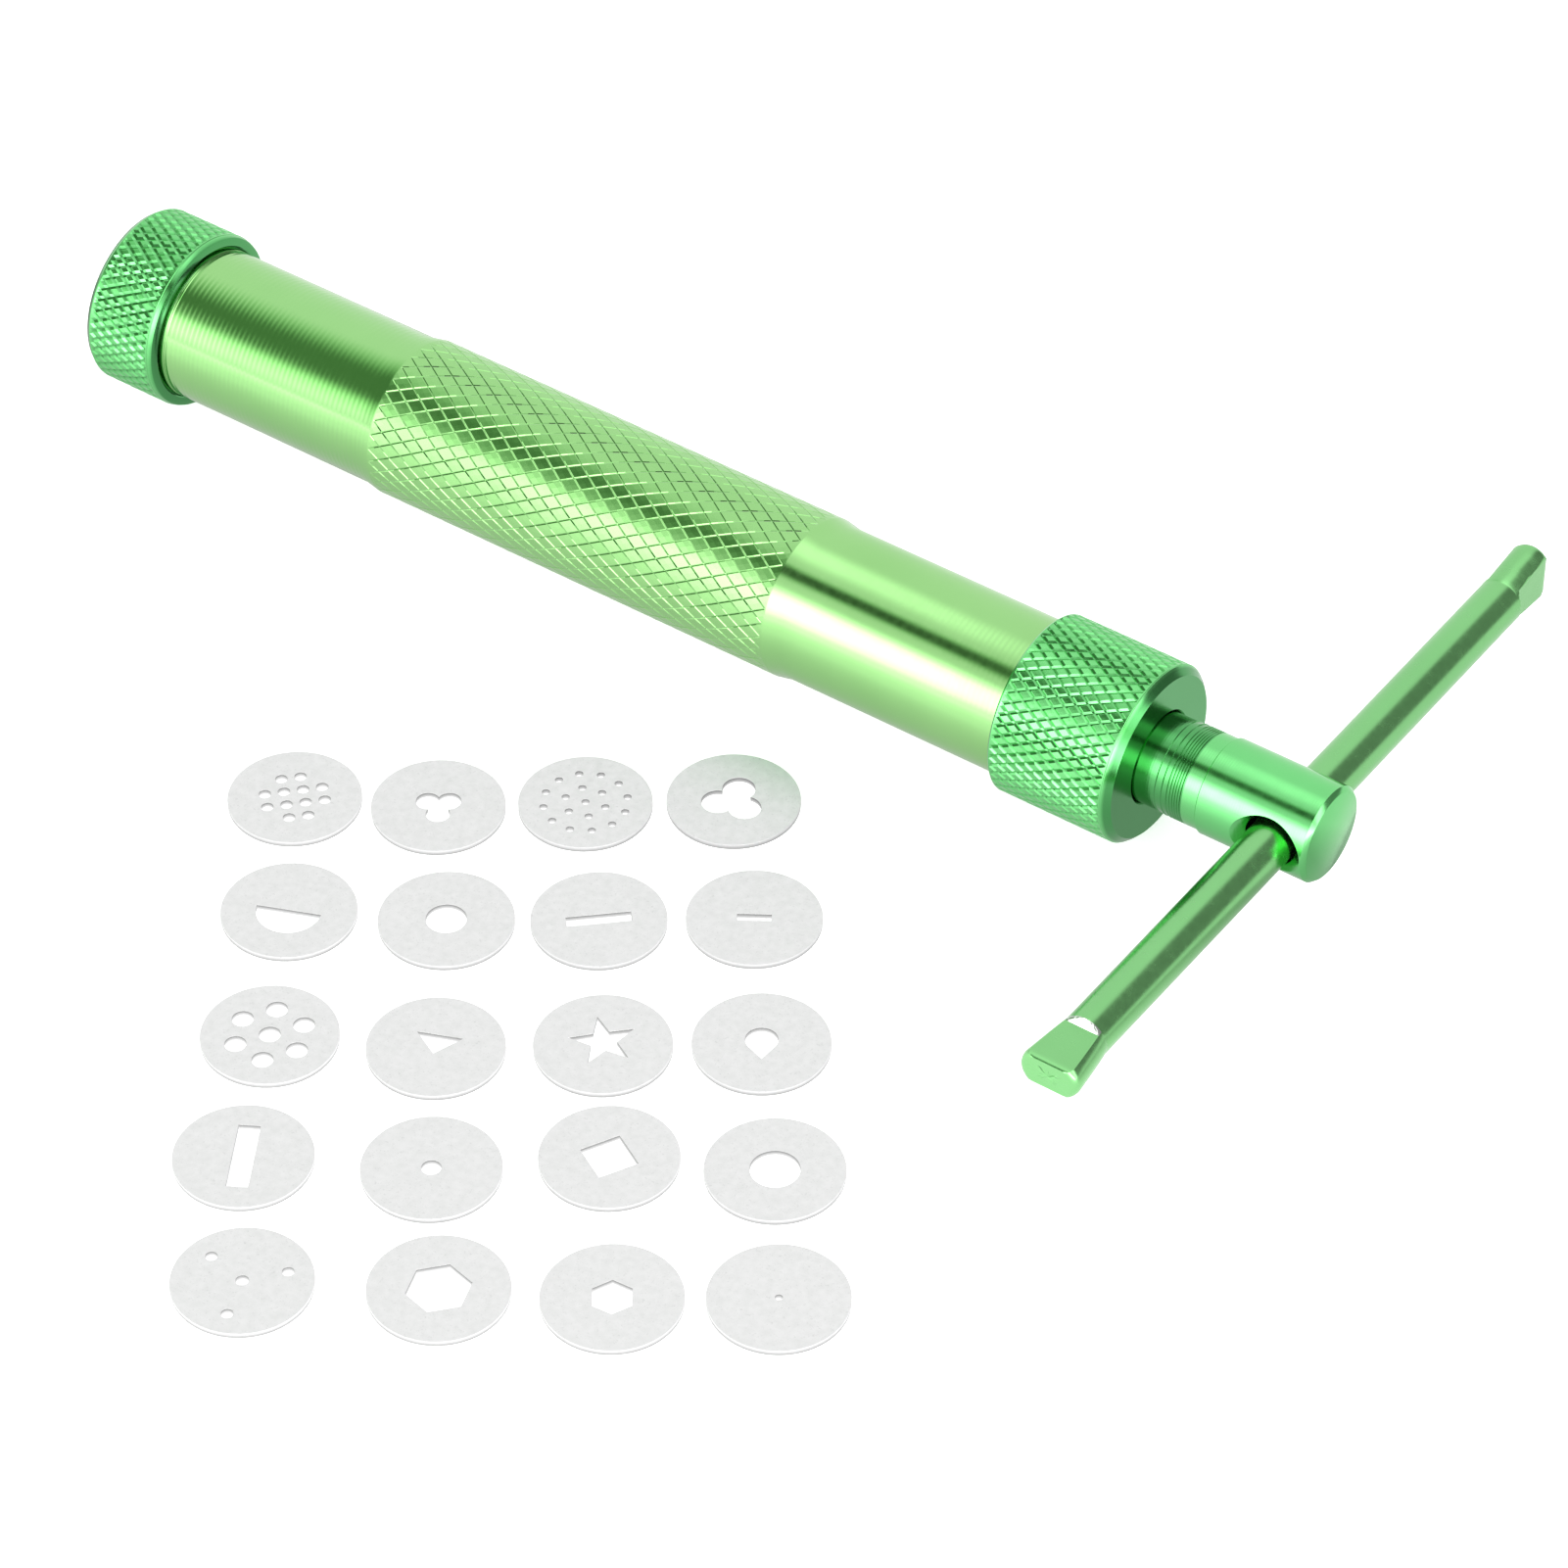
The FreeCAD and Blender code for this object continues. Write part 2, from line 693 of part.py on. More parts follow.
def round_die(label, diameter):
    """A die disc with one round hole."""
    punched_die(label, lambda sketch: add_circle(sketch, diameter))


def polygon_die(label, points):
    """A die disc with one straight-sided opening."""
    punched_die(label, lambda sketch: add_polygon(sketch, points))


def clover_die(label, diameter, radius, turn):
    """A die disc with a three-lobed opening: one lobe and its two copies about the centre."""
    body = die_blank(label)
    core = new_sketch(body, label + "_core_outline", "XY_Plane")
    add_circle(core, radius)
    punch(body, core, label + "_core")
    lobe = new_sketch(body, label + "_lobe_outline", "XY_Plane")
    add_circle(lobe, diameter, *polar(radius, turn))
    opening = punch(body, lobe, label + "_lobe")
    doc.recompute()
    lobes = body.newObject("PartDesign::PolarPattern", label + "_lobes")
    lobes.Originals = [opening]
    lobes.Axis = (lobe, ["N_Axis"])
    lobes.Angle = 360
    lobes.Occurrences = 3
    body.Tip = lobes


def twelve_hole_outline(sketch):
    """A grid of four by four round holes without its corners."""
    steps = (-1.5, -0.5, 0.5, 1.5)
    for column in steps:
        for row in steps:
            if abs(column) + abs(row) < 3:
                x, y = f"{column} * twelve_hole_pitch", f"{row} * twelve_hole_pitch"
                add_circle(sketch, "twelve_hole_diameter", *turned_point(x, y, "twelve_holes_turn"))


def nineteen_hole_outline(sketch):
    """A centre hole in a ring of six in a ring of twelve."""
    add_circle(sketch, "nineteen_hole_diameter")
    holes(sketch, "nineteen_hole_diameter", "nineteen_inner_radius", "nineteen_holes_turn + 30", 6)
    holes(sketch, "nineteen_hole_diameter", "nineteen_outer_radius", "nineteen_holes_turn", 12)


def seven_hole_outline(sketch):
    """A centre hole in a ring of six."""
    add_circle(sketch, "seven_hole_diameter")
    holes(sketch, "seven_hole_diameter", "seven_holes_radius", "seven_holes_turn", 6)


def four_hole_outline(sketch):
    """A centre hole in a wide ring of three."""
    add_circle(sketch, "four_centre_hole_diameter")
    holes(sketch, "four_outer_hole_diameter", "four_holes_radius", "four_holes_turn", 3)


def half_round_die():
    """A die disc with a half-round opening, whose flat side passes through the centre."""
    body = die_blank("disc_half_round")
    sketch = new_sketch(body, "half_round_outline", "XY_Plane")
    ends = [polar("half_round_diameter / 2", turn) for turn in ("half_round_turn", "half_round_turn + 180")]
    right, left = (FreeCAD.Vector(value_of(x), value_of(y), 0) for x, y in ends)
    bottom = FreeCAD.Vector(right.y, -right.x, 0)
    arc = sketch.addGeometry(Part.Arc(left, bottom, right))
    flat = sketch.addGeometry(Part.LineSegment(right, left))
    sketch.addConstraint(Sketcher.Constraint("Coincident", arc, 2, flat, 1))
    sketch.addConstraint(Sketcher.Constraint("Coincident", arc, 1, flat, 2))
    sketch.addConstraint(Sketcher.Constraint("PointOnObject", -1, 1, flat))
    sketch.addConstraint(Sketcher.Constraint("Coincident", arc, 3, -1, 1))
    pin_point(sketch, flat, 1, *ends[0])
    punch(body, sketch, "half_round_opening")


def teardrop_die():
    """A die disc with a teardrop: a round hole, and a point whose sides run tangent to it."""
    body = die_blank("disc_teardrop")
    hole = new_sketch(body, "drop_round_outline", "XY_Plane")
    add_circle(hole, "drop_diameter", "0", "drop_rise")
    punch(body, hole, "drop_round")
    turns = ("180 + drop_half_angle", "-drop_half_angle")
    side = [polar("drop_diameter / 2", turn, "drop_rise") for turn in turns]
    point = new_sketch(body, "drop_point_outline", "XY_Plane")
    add_polygon(point, [("0", "drop_rise"), side[0], ("0", "drop_rise - drop_tip"), side[1]])
    punch(body, point, "drop_point")


def make_dies():
    """The twenty die discs, row by row."""
    punched_die("disc_twelve_holes", twelve_hole_outline)
    clover_die("disc_small_clover", "small_lobe_diameter", "small_lobe_radius", "30")
    punched_die("disc_nineteen_holes", nineteen_hole_outline)
    clover_die("disc_large_clover", "large_lobe_diameter", "large_lobe_radius", "large_clover_turn")
    half_round_die()
    round_die("disc_round_medium", "medium_round_diameter")
    polygon_die("disc_slot_wide", rectangle("wide_slot_length", "wide_slot_width", "wide_slot_turn"))
    polygon_die("disc_slot_small", rectangle("small_slot_length", "small_slot_width", "small_slot_turn"))
    punched_die("disc_seven_holes", seven_hole_outline)
    triangle = (
        ("-triangle_base / 2", "triangle_rise"),
        ("0", "triangle_rise - triangle_height"),
        ("triangle_base / 2", "triangle_rise"),
    )
    polygon_die("disc_triangle", [turned_point(x, y, "triangle_turn") for x, y in triangle])
    radii = ("star_radius", "star_inner_radius")
    polygon_die("disc_star", [polar(radii[n % 2], f"star_turn + {n} * 36", "star_rise") for n in range(10)])
    teardrop_die()
    polygon_die("disc_slot_long", rectangle("long_slot_width", "long_slot_length", "long_slot_turn"))
    round_die("disc_round_small", "small_round_diameter")
    polygon_die("disc_square", rectangle("square_side", "square_side", "square_turn"))
    round_die("disc_round_large", "large_round_diameter")
    punched_die("disc_four_holes", four_hole_outline)
    polygon_die("disc_hexagon_large", regular("large_hexagon_radius", "large_hexagon_turn", 6))
    polygon_die("disc_hexagon_small", regular("small_hexagon_radius", "small_hexagon_turn", 6))
    round_die("disc_pinhole", "pinhole_diameter")


EXTRUDER_NODES = (
    "barrel",
    "die_cap",
    "drive_nut",
    "drive_screw",
    "cross_bar",
    "piston",
    "piston_o_ring",
    "thrust_washer",
    "piston_screw",
)


def check_and_write():
    """Stop if any object failed or any piece has no good solid, else write each piece's file."""
    doc.recompute()
    for thing in doc.Objects:
        bad = [word for word in thing.State if word in ("Invalid", "Error")]
        if bad:
            raise RuntimeError(f"{thing.Label} failed: {bad}")
    pieces = {thing.Label: thing for thing in doc.Objects}
    os.makedirs("parts", exist_ok=True)
    for label in EXTRUDER_NODES + tuple(DIE_PLACE_SHARES):
        shape = pieces[label].Shape
        if shape.isNull() or not shape.isValid() or len(shape.Solids) != 1:
            raise RuntimeError(f"{label} has no good solid")
        shape.exportStep(f"parts/{label}.step")
        box = shape.BoundBox
        ends = f"X {box.XMin:8.2f} {box.XMax:8.2f}  Y {box.YMin:8.2f} {box.YMax:8.2f}"
        print(f"{label:20s} {shape.Volume:10.2f} mm3  {ends}  Z {box.ZMin:7.2f} {box.ZMax:7.2f}")


fill_sizes()
make_barrel()
make_die_cap()
make_drive_nut()
make_drive_screw()
make_cross_bar()
make_piston()
make_piston_o_ring()
make_thrust_washer()
make_piston_screw()
make_dies()
check_and_write()
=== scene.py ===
"""Looks of a pottery clay extruder and its twenty die discs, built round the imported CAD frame.

The extruder lies along X on a pale table: knurled nose cap, turned barrel with an engraved grip, knurled rear
nut, drive screw with a cross-drilled head, and a loose T bar. Lengths in this file are millimetres and angles
are degrees, apart from the metres that Blender's own objects take and the radians of the arrays of angles.
Angles about the extruder run from +Y to +Z.
"""

import logging
import math
from dataclasses import dataclass
from enum import Enum

import bmesh
import bpy
import numpy as np
from mathutils import Matrix, Vector


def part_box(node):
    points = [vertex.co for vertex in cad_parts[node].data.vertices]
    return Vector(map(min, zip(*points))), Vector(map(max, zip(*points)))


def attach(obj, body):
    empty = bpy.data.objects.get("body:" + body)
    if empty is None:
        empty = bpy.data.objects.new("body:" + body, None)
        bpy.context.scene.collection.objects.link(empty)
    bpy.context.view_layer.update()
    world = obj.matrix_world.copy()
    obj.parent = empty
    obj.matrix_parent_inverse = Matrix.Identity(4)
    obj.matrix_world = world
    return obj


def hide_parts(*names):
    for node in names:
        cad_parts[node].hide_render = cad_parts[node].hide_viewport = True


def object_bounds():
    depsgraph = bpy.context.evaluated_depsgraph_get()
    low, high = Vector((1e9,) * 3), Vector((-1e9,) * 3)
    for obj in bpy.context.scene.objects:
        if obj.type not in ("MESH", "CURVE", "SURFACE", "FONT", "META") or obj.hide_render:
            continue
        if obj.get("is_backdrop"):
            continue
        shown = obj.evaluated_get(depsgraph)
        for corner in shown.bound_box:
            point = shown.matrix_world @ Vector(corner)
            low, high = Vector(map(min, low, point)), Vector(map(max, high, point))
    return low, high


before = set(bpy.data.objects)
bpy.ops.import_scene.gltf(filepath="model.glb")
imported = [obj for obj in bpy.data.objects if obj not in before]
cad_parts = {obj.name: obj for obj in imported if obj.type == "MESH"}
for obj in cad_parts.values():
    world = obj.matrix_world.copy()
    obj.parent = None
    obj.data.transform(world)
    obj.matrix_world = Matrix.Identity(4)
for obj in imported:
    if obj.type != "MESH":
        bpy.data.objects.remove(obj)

log = logging.getLogger("clay_extruder")

METRE = 0.001
# Points of one piece that lie nearer than this are one point.
MERGE_STEP = 0.0011
TINY = 1e-9
# Faces that lean less than this to each other share a smooth edge.
SMOOTH_LIMIT = 32.0
RNG_SEED = 7
# The stretch that holds most of a noise's values.
NOISE_RANGE = (0.3, 0.7)


class KnurlForm(Enum):
    """How a knurling wheel left its crossed rows."""

    ENGRAVED = "thin crossed grooves, with each diamond between them pressed flat"
    PYRAMID = "wide crossed grooves, with round-backed diamonds between them"


@dataclass(frozen=True)
class Span:
    """The box of one CAD node, in millimetres."""

    low: np.ndarray
    high: np.ndarray

    @classmethod
    def of(cls, node: str) -> "Span":
        """Read the box of a CAD node from the frame.

        Args:
            node: the CAD node's name.

        Returns:
            Its lowest and highest corners.
        """
        low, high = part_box(node)
        return cls(np.array(low) / METRE, np.array(high) / METRE)

    @property
    def middle(self) -> np.ndarray:
        """The point in the middle of the box."""
        return (self.low + self.high) / 2

    @property
    def radius(self) -> float:
        """Half the box's height, which is the radius of a piece turned about X."""
        return float(self.high[2] - self.low[2]) / 2


@dataclass(frozen=True)
class Axis:
    """The extruder's long axis, which runs along X at this height and distance."""

    y: float
    z: float

    def rings(self, x: np.ndarray, radius: np.ndarray, angles: np.ndarray) -> np.ndarray:
        """Points on rings about the axis: y and z are the radius times the angle's cosine and sine.

        Args:
            x: where each ring lies along the axis.
            radius: each ring's radius, or one for each of its points.
            angles: the angles of the points, in radians.

        Returns:
            An array of points, with the rings first.
        """
        x, radius, angles = np.broadcast_arrays(x, radius, angles)
        return np.stack([x, self.y + radius * np.cos(angles), self.z + radius * np.sin(angles)], axis=-1)


def around(along: np.ndarray, outward: np.ndarray, angles: np.ndarray) -> np.ndarray:
    """Directions with a share along X and a share away from the axis, at each angle.

    Args:
        along: the share along X.
        outward: the share away from the axis.
        angles: the angles in radians.

    Returns:
        An array of unit vectors, if the two shares make one.
    """
    along, outward, angles = np.broadcast_arrays(along, outward, angles)
    return np.stack([along, outward * np.cos(angles), outward * np.sin(angles)], axis=-1)


def even_angles(count: int) -> np.ndarray:
    """Angles spread evenly round one turn, in radians."""
    return np.arange(count) * 2 * np.pi / count


def grid_faces(rows: int, columns: int, closed: bool = True) -> np.ndarray:
    """Quads over a grid of points, whose rows go forward along X and whose columns go round.

    Args:
        rows: how many rows of points there are.
        columns: how many points a row has.
        closed: whether the last column joins the first.

    Returns:
        An array of quads that face outwards.
    """
    row = np.arange(rows - 1)[:, None] * columns
    here = np.arange(columns if closed else columns - 1)
    after = (here + 1) % columns
    corners = [row + here, row + after, row + columns + after, row + columns + here]
    return np.stack(corners, axis=-1).reshape(-1, 4)


def unit(vectors: np.ndarray, spare: np.ndarray) -> np.ndarray:
    """Vectors made one long, with a spare direction where one has no length.

    Args:
        vectors: an array of vectors.
        spare: directions to use instead of empty vectors.

    Returns:
        An array of unit vectors.
    """
    length = np.linalg.norm(vectors, axis=-1, keepdims=True)
    return np.where(length > TINY, vectors / np.maximum(length, TINY), spare)


class Shell:
    """The skin of one piece, gathered patch by patch, with a true normal at every corner of every face."""

    def __init__(self, axis: Axis) -> None:
        """Start an empty skin.

        Args:
            axis: the extruder's axis.
        """
        self.axis = axis
        self.points: list[np.ndarray] = []
        self.faces: dict[int, list[np.ndarray]] = {3: [], 4: []}
        self.normals: dict[int, list[np.ndarray]] = {3: [], 4: []}
        self.count = 0

    def patch(self, points: np.ndarray, faces: np.ndarray, normals: np.ndarray | None = None) -> None:
        """Add faces over points.

        Args:
            points: an array that ends in the points' three coordinates.
            faces: triangles or quads, as numbers into the points.
            normals: a normal for each point, or None for flat facets.
        """
        points = points.reshape(-1, 3)
        corners = points[faces]
        sides = faces.shape[1]
        if normals is None:
            crossing = np.cross(corners[:, 2] - corners[:, 0], corners[:, sides - 1] - corners[:, 1])
            if sides == 3:
                crossing = np.cross(corners[:, 1] - corners[:, 0], corners[:, 2] - corners[:, 0])
            flat = unit(crossing, np.array([0.0, 0.0, 1.0]))
            shared = np.repeat(flat[:, None, :], sides, axis=1)
        else:
            shared = normals.reshape(-1, 3)[faces]
        self.points.append(points)
        self.faces[sides].append(faces + self.count)
        self.normals[sides].append(shared)
        self.count += len(points)

    def turn(self, outline: list[tuple[float, float]], angles: np.ndarray) -> None:
        """Turn an outline about the axis.

        A band's normal is square to its line, and at a soft corner it is the mean of the two bands'.

        Args:
            outline: pairs of distance along X and radius, with the metal on the right of the way they run.
            angles: the angles of the points of each ring, in radians.
        """
        x, radius = np.array(outline, float).T
        run = np.stack([np.diff(x), np.diff(radius)], axis=1)
        length = np.maximum(np.linalg.norm(run, axis=1), TINY)
        square = np.stack([-run[:, 1], run[:, 0]], axis=1) / length[:, None]
        start, stop = square.copy(), square.copy()
        soft = (square[1:] * square[:-1]).sum(1) > math.cos(math.radians(SMOOTH_LIMIT))
        mean = unit(square[1:] + square[:-1], square[1:])
        start[1:][soft] = mean[soft]
        stop[:-1][soft] = mean[soft]
        rings = self.axis.rings(x[:, None], radius[:, None], angles)
        count = len(angles)
        faces = grid_faces(2, count)
        for number in np.flatnonzero(length > TINY):
            ends = np.stack([start[number], stop[number]])
            normals = around(ends[:, :1], ends[:, 1:], angles)
            self.patch(rings[number : number + 2], faces, normals)

    def stitch(self, x: tuple[float, float], radius: tuple[float, float], angles: tuple) -> None:
        """Join two rings of as many points, whose angles differ a little.

        Args:
            x: where the two rings lie along the axis.
            radius: their radii.
            angles: the angles of each ring's points, in radians.
        """
        places = np.stack(angles)
        rings = self.axis.rings(np.array(x)[:, None], np.array(radius)[:, None], places)
        slope = (radius[1] - radius[0]) / (x[1] - x[0])
        size = math.hypot(1, slope)
        self.patch(rings, grid_faces(2, places.shape[1]), around(-slope / size, 1 / size, places))

    def mesh(self, name: str) -> bpy.types.Mesh:
        """Merge the patches where they meet and make the mesh.

        A quad with one merged side becomes a triangle, and a face that lost more goes.

        Args:
            name: the mesh's name.

        Returns:
            The mesh, in metres, with its corner normals.
        """
        points = np.concatenate(self.points)
        keys = np.round(points / MERGE_STEP).astype(np.int64)
        _, first, merged = np.unique(keys, axis=0, return_index=True, return_inverse=True)
        merged = merged.reshape(-1)
        triangles = [merged[face] for face in self.faces[3]]
        triangle_normals = list(self.normals[3])
        quads, quad_normals = merged[np.concatenate(self.faces[4])], np.concatenate(self.normals[4])
        same = quads == np.roll(quads, -1, axis=1)
        one = same.sum(1) == 1
        for corner in range(4):
            chosen = one & same[:, corner]
            rest = [number for number in range(4) if number != corner]
            triangles.append(quads[chosen][:, rest])
            triangle_normals.append(quad_normals[chosen][:, rest])
        whole = same.sum(1) == 0
        thirds = np.concatenate(triangles)
        third_normals = np.concatenate(triangle_normals)
        sound = (thirds != np.roll(thirds, -1, axis=1)).all(1)
        faces = quads[whole].tolist() + thirds[sound].tolist()
        parts = quad_normals[whole], third_normals[sound]
        corner_normals = np.concatenate([part.reshape(-1, 3) for part in parts])
        made = bpy.data.meshes.new(name)
        made.from_pydata((points[first] * METRE).tolist(), [], faces)
        made.shade_smooth()
        made.normals_split_custom_set(corner_normals.tolist())
        return made


@dataclass(frozen=True)
class Knurl:
    """A knurled band: two crossing families of helical lines, cut into a turned surface.

    Line numbers u and v are the turn's share times the starts, less and plus the rows per length times the
    distance along. Where u is a whole number lies a line of one family, and where v is, one of the other.
    """

    form: KnurlForm
    starts: int
    rows: int
    front: float
    back: float
    radius: float
    depth: float
    line: float
    run_out: float
    edge: float = 0.15
    flatness: float = 0.55

    @property
    def shares(self) -> np.ndarray:
        """Where the grid's lines lie within one step between two knurl lines."""
        return np.array([0.0, self.line, 0.5, 1 - self.line])

    @property
    def points_round(self) -> int:
        """How many points a ring has at the band's ends."""
        return self.starts * len(self.shares)

    def relief(self, u: np.ndarray, v: np.ndarray) -> np.ndarray:
        """How far the surface lies under the crests: a straight fall to each line, or the flat of a diamond.

        A flat diamond would lie at the radius times the cosine of half its angle, over the cosine of the
        angle from its middle, so that only its two outer corners reach the crest. It goes a share of that.

        Args:
            u: line numbers in the first family.
            v: line numbers in the second family.

        Returns:
            Depths in millimetres.
        """
        nearest = np.minimum(np.abs(u - np.round(u)), np.abs(v - np.round(v)))
        groove = self.depth * np.clip(1 - nearest / self.line, 0, 1)
        if self.form is KnurlForm.PYRAMID:
            return groove
        half = np.pi / self.starts
        turned = (u + v - np.floor(u) - np.floor(v) - 1) * half
        return np.maximum(groove, self.flatness * self.radius * (1 - np.cos(half) / np.cos(turned)))

    def cut(self, shell: Shell) -> None:
        """Add the band to a skin, between two evenly divided rings at its ends.

        Args:
            shell: the skin of the piece.
        """
        shares, split = self.shares, len(self.shares)
        inner_front, inner_back = self.front + self.edge, self.back - self.edge
        slant = self.rows / (2 * (inner_back - inner_front))
        ring, steps = self.starts * split, self.rows * split
        number = np.arange(ring)[:, None]
        step = np.arange(steps + 1)[None, :]
        u = number // split + shares[number % split]
        v = (number + step) // split + shares[(number + step) % split]
        along = (v - u) / (2 * slant)
        angle = (u + v) * np.pi / self.starts
        radius = self.radius - self.relief(u, v) * self.fade(along, inner_back - inner_front)
        points = shell.axis.rings(inner_front + along, radius, angle)
        self.cover(shell, points, ring, steps)
        even = np.arange(ring) / split
        front = 2 * np.pi * (np.arange(ring) // split + shares[np.arange(ring) % split]) / self.starts
        smooth = 2 * np.pi * even / self.starts
        shift = np.pi * self.rows / self.starts
        level = (self.radius, self.radius)
        shell.stitch((self.front, inner_front), level, (smooth, front))
        shell.stitch((inner_back, self.back), level, (front + shift, smooth + shift))

    def fade(self, along: np.ndarray, length: float) -> np.ndarray:
        """How much of the depth is reached, which grows from nothing at both ends of the band.

        Args:
            along: distances from the band's front.
            length: the band's length.

        Returns:
            Shares from zero to one.
        """
        return np.clip(np.minimum(along, length - along) / self.run_out, 0, 1)

    @staticmethod
    def cover(shell: Shell, points: np.ndarray, ring: int, steps: int) -> None:
        """Cover the slanting grid with flat quads, and with triangles along its two ends.

        Args:
            shell: the skin of the piece.
            points: the grid's points, ring by step.
            ring: how many points lie round it.
            steps: how many steps it takes from end to end.
        """
        width = steps + 1
        here = np.arange(ring)[:, None]
        after = (here + 1) % ring
        middle = np.arange(1, steps)[None, :]
        corners = [
            here * width + middle,
            after * width + middle - 1,
            after * width + middle,
            here * width + middle + 1,
        ]
        quads = np.stack(corners, axis=-1).reshape(-1, 4)
        here, after = here[:, 0] * width, after[:, 0] * width
        front = np.stack([here, after, here + 1], axis=-1)
        back = np.stack([here + steps, after + steps - 1, after + steps], axis=-1)
        shell.patch(points, quads)
        shell.patch(points, np.concatenate([front, back]))


@dataclass(frozen=True)
class Thread:
    """A screw thread between two places, with straight flanks and a chamfer that starts under its root.

    The surface is a ring profile that moves on by one lead in a turn: the distance along is the lead times
    the profile's phase plus the turn's share, held between the two ends.
    """

    front: float
    back: float
    crest: float
    depth: float
    lead: float
    inner: bool = False
    crest_share: float = 0.16
    undercut: float = 0.05
    end_slope: float = 1.2

    @property
    def end_radius(self) -> float:
        """The radius at both ends, just past the root."""
        return self.crest + (self.depth + self.undercut) * (1 if self.inner else -1)

    def form(self, phase: np.ndarray) -> np.ndarray:
        """The radius at a share of one lead.

        Args:
            phase: shares of a lead.

        Returns:
            Radii in millimetres.
        """
        flat = self.crest_share
        shares = np.array([0.0, flat, 0.5 + flat / 2, 0.5 + flat, 1.0])
        depths = np.array([0.0, 0.0, 1.0, 1.0, 0.0]) * self.depth
        sign = 1 if self.inner else -1
        return self.crest + sign * np.interp(np.mod(phase, 1.0), shares, depths)

    def cut(self, shell: Shell, count: int) -> None:
        """Add the thread to a skin, with rows at the profile's corners and in the middles of its stretches.

        Args:
            shell: the skin of the piece.
            count: how many points a ring has.
        """
        flat = self.crest_share
        marks = [0.0, flat / 2, flat, 0.25 + flat * 0.75, 0.5 + flat / 2, 0.5 + flat, 0.75 + flat / 2]
        turns = math.ceil((self.back - self.front) / self.lead) + 1
        phase = (np.arange(turns)[:, None] + np.array(marks)).reshape(-1)
        phase = np.append(phase, turns)[:, None]
        angles = np.linspace(0, 2 * np.pi, count + 1)[None, :]
        share = angles / (2 * np.pi)
        free = self.front + self.lead * (phase - 1 + share)
        along = np.clip(free, self.front, self.back)
        radius = self.form((along - self.front) / self.lead - share)
        room = np.minimum(along - self.front, self.back - along) * self.end_slope
        if self.inner:
            radius = np.maximum(radius, self.end_radius - room)
        else:
            radius = np.minimum(radius, self.end_radius + room)
        points = shell.axis.rings(along, radius, angles)
        moving = np.where(free == along, self.lead / (2 * np.pi), 0.0)
        tangent = around(0.0, 1.0, np.broadcast_to(angles + np.pi / 2, radius.shape)) * radius[..., None]
        tangent[..., 0] = moving
        outward = around(0.0, 1.0, np.broadcast_to(angles, radius.shape))
        rise = points[1:] - points[:-1]
        below = unit(np.cross(tangent[:-1], rise), outward[:-1])
        above = unit(np.cross(tangent[1:], rise), outward[1:])
        faces = grid_faces(2, count + 1, closed=False)
        rows = len(phase) - 1
        offset = (np.arange(rows) * 2 * (count + 1))[:, None, None]
        pairs = np.stack([points[:-1], points[1:]], axis=1)
        normals = np.stack([below, above], axis=1)
        quads = (faces[None] + offset).reshape(-1, 4)
        if self.inner:
            quads, normals = quads[:, ::-1], -normals
        shell.patch(pairs, quads, normals.reshape(-1, 3))


